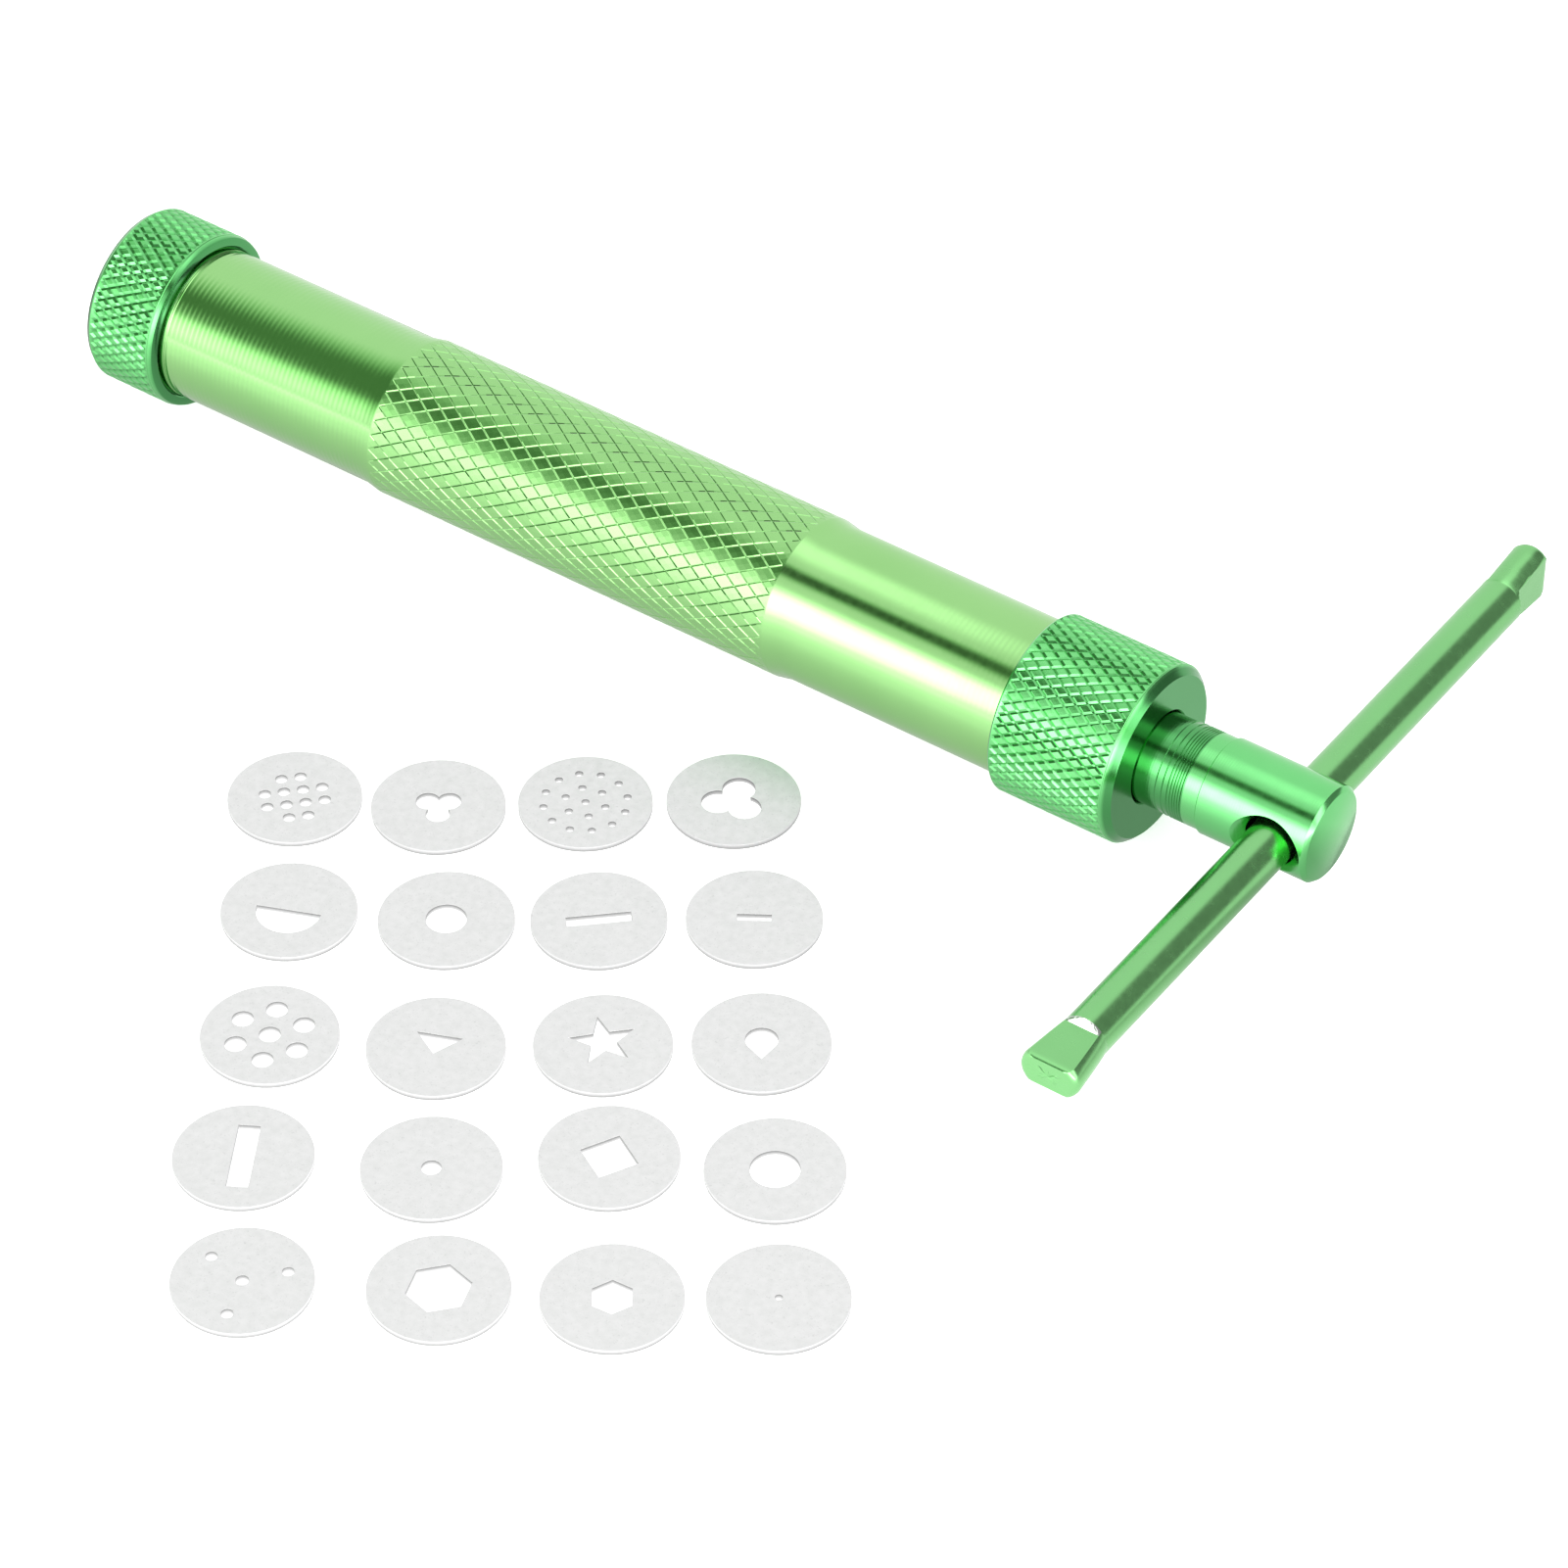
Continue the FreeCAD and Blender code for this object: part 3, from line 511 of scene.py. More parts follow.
class Nodes:
    """A node tree being put together, with short calls for the steps that it uses."""

    def __init__(self, tree: bpy.types.NodeTree) -> None:
        """Keep the tree."""
        self.tree = tree

    def add(self, kind: str, **settings: object) -> bpy.types.Node:
        """Add a node and set its own properties.

        Args:
            kind: the node's type.
            settings: its properties by name.

        Returns:
            The node.
        """
        node = self.tree.nodes.new(kind)
        for name, value in settings.items():
            setattr(node, name, value)
        return node

    def join(self, source: bpy.types.NodeSocket, target: bpy.types.NodeSocket) -> None:
        """Link an output to an input."""
        self.tree.links.new(source, target)

    def feed(self, node: bpy.types.Node, values: dict[str | int, object]) -> bpy.types.Node:
        """Give a node's inputs their values or links.

        Args:
            node: the node.
            values: for each input's name or number, a number, a colour or an output to link.

        Returns:
            The same node.
        """
        for key, value in values.items():
            if isinstance(value, bpy.types.NodeSocket):
                self.join(value, node.inputs[key])
            else:
                node.inputs[key].default_value = value
        return node

    def sum(
        self, operation: str, first: object, second: object = 0.0, third: object = 0.0
    ) -> bpy.types.NodeSocket:
        """One step of arithmetic.

        Args:
            operation: the Math node's operation.
            first: the first number or output.
            second: the second, where it has one.
            third: the third, where it has one.

        Returns:
            The result.
        """
        node = self.add("ShaderNodeMath", operation=operation)
        return self.feed(node, {0: first, 1: second, 2: third}).outputs[0]

    def spread(
        self, value: object, start: tuple[float, float], stop: tuple, soft: bool = False
    ) -> bpy.types.NodeSocket:
        """A number carried from one range to another and held in it.

        Args:
            value: the number.
            start: the two ends of the first range.
            stop: the two ends of the second range, as numbers or outputs.
            soft: whether it starts and ends gently.

        Returns:
            The result.
        """
        node = self.add("ShaderNodeMapRange", interpolation_type="SMOOTHSTEP" if soft else "LINEAR")
        self.feed(node, {0: value, 1: start[0], 2: start[1], 3: stop[0], 4: stop[1]})
        return node.outputs[0]

    def mixed(self, share: object, first: object, second: object) -> bpy.types.NodeSocket:
        """A colour between two others.

        Args:
            share: how much of the second colour there is.
            first: the first colour.
            second: the second colour.

        Returns:
            The mixed colour.
        """
        node = self.add("ShaderNodeMix", data_type="RGBA")
        self.feed(node, {0: share, 6: first, 7: second})
        return node.outputs[2]

    def scaled(self, source: bpy.types.NodeSocket, factors: tuple, **others: tuple) -> bpy.types.NodeSocket:
        """Coordinates with a factor on each, and with other settings of the Mapping node by name."""
        node = self.add("ShaderNodeMapping")
        return self.feed(node, {"Vector": source, "Scale": factors, **others}).outputs[0]

    def split(self, source: bpy.types.NodeSocket) -> bpy.types.bpy_prop_collection:
        """The three parts of a place or a direction."""
        return self.feed(self.add("ShaderNodeSeparateXYZ"), {0: source}).outputs

    def away(self, value: object, place: float) -> bpy.types.NodeSocket:
        """How far a number lies from a place, either way."""
        return self.sum("ABSOLUTE", self.sum("SUBTRACT", value, place))


class Paint(Nodes):
    """A node material being put together."""

    def __init__(self, name: str) -> None:
        """Start a material with one Principled shader.

        Args:
            name: the material's name.
        """
        self.material = bpy.data.materials.new(name)
        self.material.use_nodes = True
        super().__init__(self.material.node_tree)
        self.shader = self.tree.nodes["Principled BSDF"]
        self.place = self.add("ShaderNodeTexCoord").outputs["Object"]

    def metal(self) -> None:
        """Make the shader a metal."""
        self.shader.inputs["Metallic"].default_value = 1.0

    def colour(self, source: bpy.types.NodeSocket) -> None:
        """Give the shader its colour."""
        self.join(source, self.shader.inputs["Base Color"])

    def rough(self, source: bpy.types.NodeSocket) -> None:
        """Give the shader its roughness."""
        self.join(source, self.shader.inputs["Roughness"])

    def noise(
        self, scale: float, detail: float = 3.0, stretch: tuple = (1.0, 1.0, 1.0), roughness: float = 0.55
    ) -> bpy.types.NodeSocket:
        """Cloudy noise over the piece's own coordinates.

        Args:
            scale: clouds in a metre.
            detail: how many finer layers it has.
            stretch: a factor on each coordinate.
            roughness: how strong the finer layers are.

        Returns:
            The noise, from zero to one.
        """
        cloud = self.add("ShaderNodeTexNoise")
        place = self.scaled(self.place, stretch)
        self.feed(cloud, {"Vector": place, "Scale": scale, "Detail": detail, "Roughness": roughness})
        return cloud.outputs["Fac"]

    def bump(self, height: bpy.types.NodeSocket, distance: float, strength: float = 1.0) -> None:
        """Let a height shape the shader's normal, on top of any bump already there.

        Args:
            height: the height, as a share of the distance.
            distance: the full height in millimetres.
            strength: how much of it shows.
        """
        node = self.add("ShaderNodeBump")
        self.feed(node, {"Height": height, "Distance": distance * METRE, "Strength": strength})
        links = self.shader.inputs["Normal"].links
        if links:
            self.join(links[0].from_socket, node.inputs["Normal"])
        self.join(node.outputs[0], self.shader.inputs["Normal"])


def grey(level: float) -> tuple[float, float, float, float]:
    """A colour with the same share of red, green and blue."""
    return (level, level, level, 1.0)


def tint(red: float, green: float, blue: float) -> tuple[float, float, float, float]:
    """A full colour from its linear shares."""
    return (red, green, blue, 1.0)


@dataclass(frozen=True)
class AnodisedAluminium:
    """Bright dyed aluminium with the fine rings that turning leaves on it.

    The colour is darkened by painted shade in a knurl's grooves, from the crest down over the depth, and on a
    neck up to a place along X. The dye is gone from a shoulder that pressing has cracked, given as two places
    along Y and a height. Where there is a bare band, the rings are left out between its two places and worn
    behind it, and the grooves' painted shade stays within it.
    """

    name: str
    colour: tuple[float, float, float, float]
    # The darker colour: a random darker tone of the dye in clouds, and painted shade in grooves and on a
    # neck.
    deep: tuple[float, float, float, float]
    roughness: float = 0.17
    ring_pitch: float = 0.44
    ring_height: float = 0.0008
    fine_height: float = 0.0012
    bare_band: tuple[float, float] | None = None
    worn_share: float = 0.16
    # crest and depth: where the painted shade in a knurl's grooves starts, and how far down it reaches full
    # strength.
    crest: float = 0.0
    depth: float = 0.0
    neck_shade_until: float | None = None
    bare_shoulder: tuple[float, float, float] | None = None
    across_y: bool = False
    cloud_share: float = 0.16
    groove_shade_share: float = 0.75
    neck_shade_share: float = 0.65
    bare_share: float = 0.85
    bare_metal: tuple[float, float, float, float] = grey(0.85)
    edge: float = 0.1
    wear_range: tuple[float, float] = (0.85, 1.15)

    def material(self, axis: Axis) -> bpy.types.Material:
        """Make the material.

        Args:
            axis: the extruder's axis, from which the depth of a knurl's grooves is measured.

        Returns:
            The material.
        """
        paint = Paint(self.name)
        paint.metal()
        cloud = paint.spread(paint.noise(60.0, 4.0), NOISE_RANGE, (0.0, self.cloud_share))
        shade = paint.mixed(cloud, self.colour, self.deep)
        # Painted shade: darker the deeper a point lies in a knurl's grooves.
        if self.depth:
            share = self.grooves(paint, axis)
            if self.bare_band:
                share = paint.sum("MULTIPLY", share, self.within_band(paint))
            shade = paint.mixed(share, shade, self.deep)
        # Painted shade on the neck and everything in front of it along X.
        if self.neck_shade_until is not None:
            shade = paint.mixed(self.neck_shade(paint), shade, self.deep)
        if self.bare_shoulder:
            shade = paint.mixed(self.shoulder(paint), shade, self.bare_metal)
        paint.colour(shade)
        worn = tuple(self.roughness * factor for factor in self.wear_range)
        paint.rough(paint.spread(paint.noise(900.0, 2.0), NOISE_RANGE, worn))
        self.turning(paint)
        return paint.material

    def grooves(self, paint: Paint, axis: Axis) -> bpy.types.NodeSocket:
        """How much painted shade a point gets, by how deep it lies under the crests, as a share of the
        grooves' depth.

        Args:
            paint: the material being made.
            axis: the extruder's axis.

        Returns:
            A share from zero to one.
        """
        centre = (0.0, -axis.y * METRE, -axis.z * METRE)
        centred = paint.scaled(paint.place, (0.0, 1.0, 1.0), Location=centre)
        length = paint.add("ShaderNodeVectorMath", operation="LENGTH")
        paint.join(centred, length.inputs[0])
        low, high = (self.crest - self.depth) * METRE, self.crest * METRE
        return paint.spread(length.outputs["Value"], (low, high), (self.groove_shade_share, 0.0))

    def within_band(self, paint: Paint) -> bpy.types.NodeSocket:
        """Whether a point lies between the knurled band's two ends along X.

        Args:
            paint: the material being made.

        Returns:
            One or zero.
        """
        along = paint.split(paint.place)[0]
        start, stop = (place * METRE for place in self.bare_band)
        past = paint.sum("GREATER_THAN", along, start)
        return paint.sum("MULTIPLY", past, paint.sum("LESS_THAN", along, stop))

    def neck_shade(self, paint: Paint) -> bpy.types.NodeSocket:
        """How much painted shade darkens the colour by the distance along X: one share up to the place where
        it ends.
        """
        end, edge = self.neck_shade_until * METRE, self.edge * METRE
        return paint.spread(paint.split(paint.place)[0], (end - edge, end), (self.neck_shade_share, 0.0))

    def shoulder(self, paint: Paint) -> bpy.types.NodeSocket:
        """Where pressing has cracked the dye off: between two places along Y, and above a height.

        Args:
            paint: the material being made.

        Returns:
            How much bare metal shows, from zero to one.
        """
        _, ahead, up = paint.split(paint.place)
        near, far, height = (place * METRE for place in self.bare_shoulder)
        edge = self.edge * METRE
        past = paint.spread(ahead, (near - edge / 2, near), (0.0, self.bare_share))
        before = paint.spread(ahead, (far, far + edge / 2), (1.0, 0.0))
        above = paint.spread(up, (height - edge, height), (0.0, 1.0))
        return paint.sum("MULTIPLY", paint.sum("MULTIPLY", past, before), above)

    def turning(self, paint: Paint) -> None:
        """Add the rings left by turning: waves along the piece, uneven in height, and fine scratches.

        Args:
            paint: the material being made.
        """
        stretch = (1.0, 40.0, 1.0) if self.across_y else (40.0, 1.0, 1.0)
        distance = paint.split(paint.place)[1 if self.across_y else 0]
        wave = paint.sum("SINE", paint.sum("MULTIPLY", distance, 2 * math.pi / (self.ring_pitch * METRE)))
        share = paint.spread(paint.noise(35.0, 2.0), (0.35, 0.6), (0.65, 1.0))
        if self.bare_band:
            start, stop = (place * METRE for place in self.bare_band)
            before = paint.spread(distance, (start - METRE, start), (1.0, 0.0))
            after = paint.spread(distance, (stop, stop + METRE), (0.0, self.worn_share))
            share = paint.sum("MULTIPLY", share, paint.sum("ADD", before, after))
        paint.bump(paint.sum("MULTIPLY", wave, share), self.ring_height)
        paint.bump(paint.noise(30.0 / self.ring_pitch, 5.0, stretch), self.fine_height)


@dataclass(frozen=True)
class StainlessSheet:
    """Tumbled stainless sheet: near even, with specks and fine scratches, and painted shade on the walls of
    its openings and at the foot of its rim.
    """

    name: str = "tumbled_stainless"
    colour: tuple[float, float, float, float] = grey(0.85)
    cloud: tuple[float, float, float, float] = grey(0.79)
    speck: tuple[float, float, float, float] = grey(0.62)
    painted_wall_shade: tuple[float, float, float, float] = grey(0.22)
    roughness: tuple[float, float] = (0.3, 0.4)
    shaded_wall_roughness: float = 0.15
    scratch_height: float = 0.0012
    scratch_ways: tuple[tuple[float, float], ...] = ((0.0, 0.04), (1.1, 0.03), (2.2, 0.05))

    def material(self) -> bpy.types.Material:
        """Make the material, which reads the share of painted wall shade from the pieces' attribute.

        Returns:
            The material.
        """
        paint = Paint(self.name)
        paint.metal()
        clouds = paint.noise(900.0, 5.0)
        specks = paint.spread(paint.noise(3200.0, 2.0), (0.62, 0.72), (0.0, 0.5))
        shade = paint.mixed(paint.spread(clouds, NOISE_RANGE, (0.0, 1.0)), self.colour, self.cloud)
        shade = paint.mixed(specks, shade, self.speck)
        # Painted shade on the walls inside the openings and a painted contact shadow at the foot of the rim,
        # which also roughens them.
        wall = paint.add("ShaderNodeAttribute", attribute_name="painted_wall_shade").outputs["Fac"]
        paint.colour(paint.mixed(wall, shade, self.painted_wall_shade))
        rough = paint.spread(clouds, NOISE_RANGE, self.roughness)
        paint.rough(paint.sum("MULTIPLY_ADD", wall, self.shaded_wall_roughness, rough))
        for turn, stretch in self.scratch_ways:
            paint.bump(self.scratches(paint, turn, stretch), self.scratch_height, 0.5)
        return paint.material

    def scratches(self, paint: Paint, turn: float, stretch: float) -> bpy.types.NodeSocket:
        """Fine scratches that run one way over the sheet.

        Args:
            paint: the material being made.
            turn: the way they run, in radians about Z.
            stretch: their width as a share of their length.

        Returns:
            Their height.
        """
        turned = paint.scaled(paint.place, (1.0, 1.0, 1.0), Rotation=(0.0, 0.0, turn))
        drawn = paint.scaled(turned, (stretch, 1.0, 1.0))
        lines = paint.add("ShaderNodeTexNoise")
        paint.feed(lines, {"Vector": drawn, "Scale": 5200.0, "Detail": 2.0})
        return paint.spread(lines.outputs["Fac"], (0.58, 0.75), (0.0, 1.0))


@dataclass(frozen=True)
class PlainMetal:
    """Undyed metal inside the extruder, turned or plated."""

    name: str
    colour: tuple[float, float, float, float]
    worn: tuple[float, float, float, float]
    roughness: float
    wear_range: tuple[float, float] = (0.8, 1.2)
    turning_height: float = 0.002

    def material(self) -> bpy.types.Material:
        """Make the material.

        Returns:
            The material.
        """
        paint = Paint(self.name)
        paint.metal()
        cloud = paint.spread(paint.noise(250.0, 4.0), (0.35, 0.7), (0.0, 1.0))
        paint.colour(paint.mixed(cloud, self.colour, self.worn))
        worn = tuple(self.roughness * factor for factor in self.wear_range)
        paint.rough(paint.spread(paint.noise(900.0), NOISE_RANGE, worn))
        paint.bump(paint.noise(60.0, 4.0, (40.0, 1.0, 1.0)), self.turning_height)
        return paint.material


@dataclass(frozen=True)
class NitrileRubber:
    """Matt black rubber with a faint bloom."""

    name: str = "nitrile_rubber"
    colour: tuple[float, float, float, float] = grey(0.012)
    bloom: tuple[float, float, float, float] = grey(0.03)
    roughness: tuple[float, float] = (0.45, 0.62)
    grain_height: float = 0.01

    def material(self) -> bpy.types.Material:
        """Make the material.

        Returns:
            The material.
        """
        paint = Paint(self.name)
        cloud = paint.noise(700.0, 4.0)
        paint.colour(paint.mixed(paint.spread(cloud, (0.4, 0.7), (0.0, 1.0)), self.colour, self.bloom))
        paint.rough(paint.spread(cloud, NOISE_RANGE, self.roughness))
        paint.bump(paint.noise(3000.0), self.grain_height, 0.4)
        return paint.material


# The darker colours are a random tone of the dye; the barrel's and the cap green's are also painted shade in
# knurl grooves and on the screw's neck.
BARREL_GREEN = tint(0.352, 0.700, 0.262)
BARREL_DARK_TONE_AND_SHADE = tint(0.210, 0.520, 0.150)
BAR_GREEN = tint(0.262, 0.635, 0.250)
BAR_DEEP = tint(0.150, 0.440, 0.140)
CAP_GREEN = tint(0.209, 0.723, 0.246)
CAP_DARK_TONE_AND_SHADE = tint(0.050, 0.260, 0.075)


def read(items: bpy.types.bpy_prop_collection, name: str, width: int = 1) -> np.ndarray:
    """Read one property of all points, corners or faces of a mesh as an array.

    Args:
        items: the mesh's collection.
        name: the property's name.
        width: how many numbers each item has.

    Returns:
        An array, with a row for each item if the width is over one.
    """
    values = np.empty(len(items) * width, np.float64)
    items.foreach_get(name, values)
    return values.reshape(-1, width) if width > 1 else values


def harden(mesh: bpy.types.Mesh, weights: np.ndarray) -> None:
    """Give each corner the weighted mean normal of the faces round its point that lean less than the limit.

    Args:
        mesh: the mesh, whose normals are set.
        weights: each face's weight, high for the faces that are to stay flat up to their bevels.
    """
    point = read(mesh.loops, "vertex_index").astype(int)
    normal = read(mesh.polygons, "normal", 3)
    face = np.repeat(np.arange(len(mesh.polygons)), read(mesh.polygons, "loop_total").astype(int))
    order = np.argsort(point, kind="stable")
    sizes = np.bincount(point, minlength=len(mesh.vertices))
    group = sizes[point[order]]
    own = np.repeat(order, group)
    step = np.arange(len(own)) - np.repeat(np.cumsum(group) - group, group)
    other = order[np.repeat((np.cumsum(sizes) - sizes)[point[order]], group) + step]
    near = (normal[face[own]] * normal[face[other]]).sum(1) > math.cos(math.radians(SMOOTH_LIMIT))
    pull = (weights[face[other]] * near)[:, None] * normal[face[other]]
    total = np.stack([np.bincount(own, pull[:, way], len(point)) for way in range(3)], axis=1)
    mesh.shade_smooth()
    mesh.normals_split_custom_set(unit(total, normal[face]).tolist())


def finished(
    mesh: bpy.types.Mesh, material: bpy.types.Material, body: str, slot: str, *nodes: str
) -> bpy.types.Object:
    """Make a piece of a mesh: dress it, let it ride on its body, and hide the nodes that it stands for.

    Args:
        mesh: the piece's mesh, in its place and in metres.
        material: its finish.
        body: the CAD body that it rides on.
        slot: the record's material slot, which is not used.
        nodes: the CAD nodes that it replaces.

    Returns:
        The piece's object.
    """
    mesh.materials.append(material)
    piece = bpy.data.objects.new(mesh.name, mesh)
    bpy.context.scene.collection.objects.link(piece)
    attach(piece, body)
    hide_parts(*nodes)
    log.info("%s: %d points, %d faces, on %s", mesh.name, len(mesh.vertices), len(mesh.polygons), body)
    return piece


@dataclass
class Barrel:
    """The barrel: a thread at each end and a raised, engraved grip between two plain stretches."""

    axis: Axis
    span: Span
    cap_back: float
    nut_front: float
    bore: float = 8.5
    thread_radius: float = 10.5
    tube: float = 11.75
    thread_pitch: float = 1.25
    thread_depth: float = 0.65
    shoulder: float = 2.6
    edge: float = 0.25
    bore_chamfer: float = 0.3
    plain_front: float = 36.9
    grip_length: float = 70.7
    ramp: float = 2.7
    ramp_drop: float = 0.02
    relief_front: float = 0.6
    relief: float = 0.35
    relief_depth: float = 0.1
    relief_slope: float = 0.1
    ring_places: tuple[float, ...] = (0.6, 0.95)
    ring_half: float = 0.08
    ring_depth: float = 0.06
    knurl_starts: int = 34
    knurl_rows: int = 37
    knurl_depth: float = 0.11
    diamond_fall: float = 0.035

    @property
    def front(self) -> float:
        """Where the tube starts."""
        return float(self.span.low[0])

    @property
    def back(self) -> float:
        """Where the tube ends."""
        return float(self.span.high[0])

    @property
    def grip_front(self) -> float:
        """Where the grip starts."""
        return self.cap_back + self.plain_front + self.ramp

    @property
    def grip(self) -> Knurl:
        """The engraved grip."""
        return Knurl(
            form=KnurlForm.ENGRAVED,
            starts=self.knurl_starts,
            rows=self.knurl_rows,
            front=self.grip_front,
            back=self.grip_front + self.grip_length,
            radius=self.span.radius,
            depth=self.knurl_depth,
            line=0.07,
            run_out=0.5,
        )

    def build(self) -> bpy.types.Mesh:
        """Build the whole skin of the tube.

        Returns:
            The barrel's mesh.
        """
        shell = Shell(self.axis)
        grip = self.grip
        angles = even_angles(grip.points_round)
        front_shoulder, rear_shoulder = self.cap_back - self.shoulder, self.nut_front + self.shoulder
        form = self.thread_radius, self.thread_depth, self.thread_pitch
        front_thread = Thread(self.front, front_shoulder, *form)
        rear_thread = Thread(rear_shoulder, self.back, *form)
        rim = self.bore + self.bore_chamfer
        shell.turn([(self.front, rim), (self.front, front_thread.end_radius)], angles)
        front_thread.cut(shell, grip.points_round)
        shell.turn([(front_shoulder, front_thread.end_radius)] + self.front_stretch(front_shoulder), angles)
        grip.cut(shell)
        shell.turn(self.rear_stretch(rear_shoulder) + [(rear_shoulder, rear_thread.end_radius)], angles)
        rear_thread.cut(shell, grip.points_round)
        bore = [
            (self.back, rear_thread.end_radius),
            (self.back, rim),
            (self.back - self.bore_chamfer, self.bore),
            (self.front + self.bore_chamfer, self.bore),
            (self.front, rim),
        ]
        shell.turn(bore, angles)
        return shell.mesh("barrel_tube")

    def front_stretch(self, shoulder: float) -> list[tuple[float, float]]:
        """The outline from the front shoulder to the grip, with the relief and the fine grooves at the cap.

        Args:
            shoulder: where the front shoulder lies along X.

        Returns:
            Pairs of distance along X and radius.
        """
        low, groove = self.tube - self.relief_depth, self.tube - self.ring_depth
        start, step = self.cap_back - self.relief_front, self.cap_back + self.relief
        outline = [
            (shoulder, self.tube - self.edge),
            (shoulder + self.edge, self.tube),
            (start, self.tube),
            (start + self.relief_slope, low),
            (step, low),
            (step + self.relief_slope, self.tube),
        ]
        for along in self.ring_places:
            place, half = self.cap_back + along, self.ring_half
            outline += [(place, self.tube), (place + half, groove), (place + 2 * half, self.tube)]
        return outline + [
            (self.grip_front - self.ramp, self.tube),
            (self.grip_front - self.edge, self.span.radius - self.ramp_drop),
            (self.grip_front, self.span.radius),
        ]

    def rear_stretch(self, shoulder: float) -> list[tuple[float, float]]:
        """The outline from the grip to the rear shoulder.

        Args:
            shoulder: where the rear shoulder lies along X.

        Returns:
            Pairs of distance along X and radius.
        """
        end = self.grip_front + self.grip_length
        return [
            (end, self.span.radius),
            (end + self.edge, self.span.radius - self.ramp_drop),
            (end + self.ramp, self.tube),
            (shoulder - self.edge, self.tube),
            (shoulder, self.tube - self.edge),
        ]

    def dress(self) -> None:
        """Build the barrel and give it its bright green finish."""
        finish = AnodisedAluminium(
            "green_anodised_barrel",
            BARREL_GREEN,
            BARREL_DARK_TONE_AND_SHADE,
            roughness=0.15,
            ring_pitch=0.85,
            ring_height=0.006,
            bare_band=(self.grip_front, self.grip_front + self.grip_length),
            # Painted shade in the grip's grooves, from just under the flat diamonds down to the grooves'
            # floor.
            crest=self.span.radius - self.diamond_fall,
            depth=self.knurl_depth - self.diamond_fall,
        )
        piece = finished(self.build(), finish.material(self.axis), "barrel", "green_anodised", "barrel")
        piece.visible_glossy = False


@dataclass
class ThreadedCap:
    """What the two caps share: a knurl outside, and a skirt and the barrel's thread inside."""

    axis: Axis
    span: Span
    thread_bore: float = 10.55
    thread_pitch: float = 1.25
    thread_depth: float = 0.65
    skirt: float = 12.05
    counterbore: float = 3.0
    knurl_rise: float = 0.08
    knurl_starts: int = 50
    groove_shade_start: float = 0.04

    @property
    def front(self) -> float:
        """Where the cap starts."""
        return float(self.span.low[0])

    @property
    def back(self) -> float:
        """Where the cap ends."""
        return float(self.span.high[0])

    @property
    def plain(self) -> float:
        """The radius beside the knurl."""
        return self.span.radius - self.knurl_rise

    def inner_thread(self, front: float, back: float) -> Thread:
        """The thread that takes the barrel, between two places."""
        return Thread(front, back, self.thread_bore, self.thread_depth, self.thread_pitch, inner=True)

    def finish(self, name: str, depth: float) -> bpy.types.Material:
        """The green finish, with painted shade that darkens it down in the knurl.

        Args:
            name: the material's name.
            depth: how far down the painted shade reaches its full strength.

        Returns:
            The material.
        """
        green = AnodisedAluminium(
            name,
            CAP_GREEN,
            CAP_DARK_TONE_AND_SHADE,
            roughness=0.2,
            ring_pitch=0.3,
            crest=self.span.radius - self.groove_shade_start,
            depth=depth,
        )
        return green.material(self.axis)


@dataclass
class DieCap(ThreadedCap):
    """The nose cap: mouth, disc seat, thread and skirt inside, a diamond knurl and a plain rim outside."""

    wall: float = 1.8
    seat_depth: float = 0.6
    mouth: float = 7.8
    mouth_chamfer: float = 0.4
    seat: float = 9.8
    chamfer: float = 1.0
    knurl_gap: float = 0.1
    band: float = 0.95
    band_step: float = 0.05
    rim_chamfer: float = 0.6
    skirt_chamfer: float = 0.15
    groove_shade_depth: float = 0.3

    @property
    def knurl(self) -> Knurl:
        """The diamond knurl."""
        return Knurl(
            form=KnurlForm.PYRAMID,
            starts=self.knurl_starts,
            rows=7,
            front=self.front + self.chamfer + self.knurl_gap,
            back=self.back - self.band,
            radius=self.span.radius,
            depth=0.2,
            line=0.27,
            run_out=0.3,
        )

    def build(self) -> bpy.types.Mesh:
        """Build the whole skin of the cap.

        Returns:
            The cap's mesh.
        """
        shell = Shell(self.axis)
        knurl = self.knurl
        angles = even_angles(knurl.points_round)
        nose, back, outside, plain = self.front, self.back, self.span.radius, self.plain
        thread = self.inner_thread(nose + self.wall + self.seat_depth, back - self.counterbore)
        front = [
            (nose, self.mouth + self.mouth_chamfer),
            (nose, plain - self.chamfer),
            (nose + self.chamfer * 0.3, plain - self.chamfer * 0.45),
            (nose + self.chamfer, plain),
            (knurl.front, outside),
        ]
        rim = [
            (knurl.back, outside),
            (knurl.back + self.band_step, plain),
            (back - self.rim_chamfer, plain),
            (back - self.rim_chamfer * 0.3, plain - self.rim_chamfer * 0.3),
            (back, plain - self.rim_chamfer),
            (back, self.skirt + self.skirt_chamfer),
            (back - self.skirt_chamfer, self.skirt),
            (thread.back, self.skirt),
            (thread.back, thread.end_radius),
        ]
        seat = [
            (thread.front, thread.end_radius),
            (thread.front, self.seat),
            (nose + self.wall, self.seat),
            (nose + self.wall, self.mouth),
            (nose + self.mouth_chamfer, self.mouth),
            (nose, self.mouth + self.mouth_chamfer),
        ]
        shell.turn(front, angles)
        knurl.cut(shell)
        shell.turn(rim, angles)
        thread.cut(shell, knurl.points_round)
        shell.turn(seat, angles)
        return shell.mesh("nose_cap")

    def dress(self) -> None:
        """Build the cap and give it its green finish."""
        # The cap's finish has painted shade down in its knurl.
        finish = self.finish("green_anodised_cap", self.groove_shade_depth)
        finished(self.build(), finish, "die_cap", "cap_green", "die_cap")


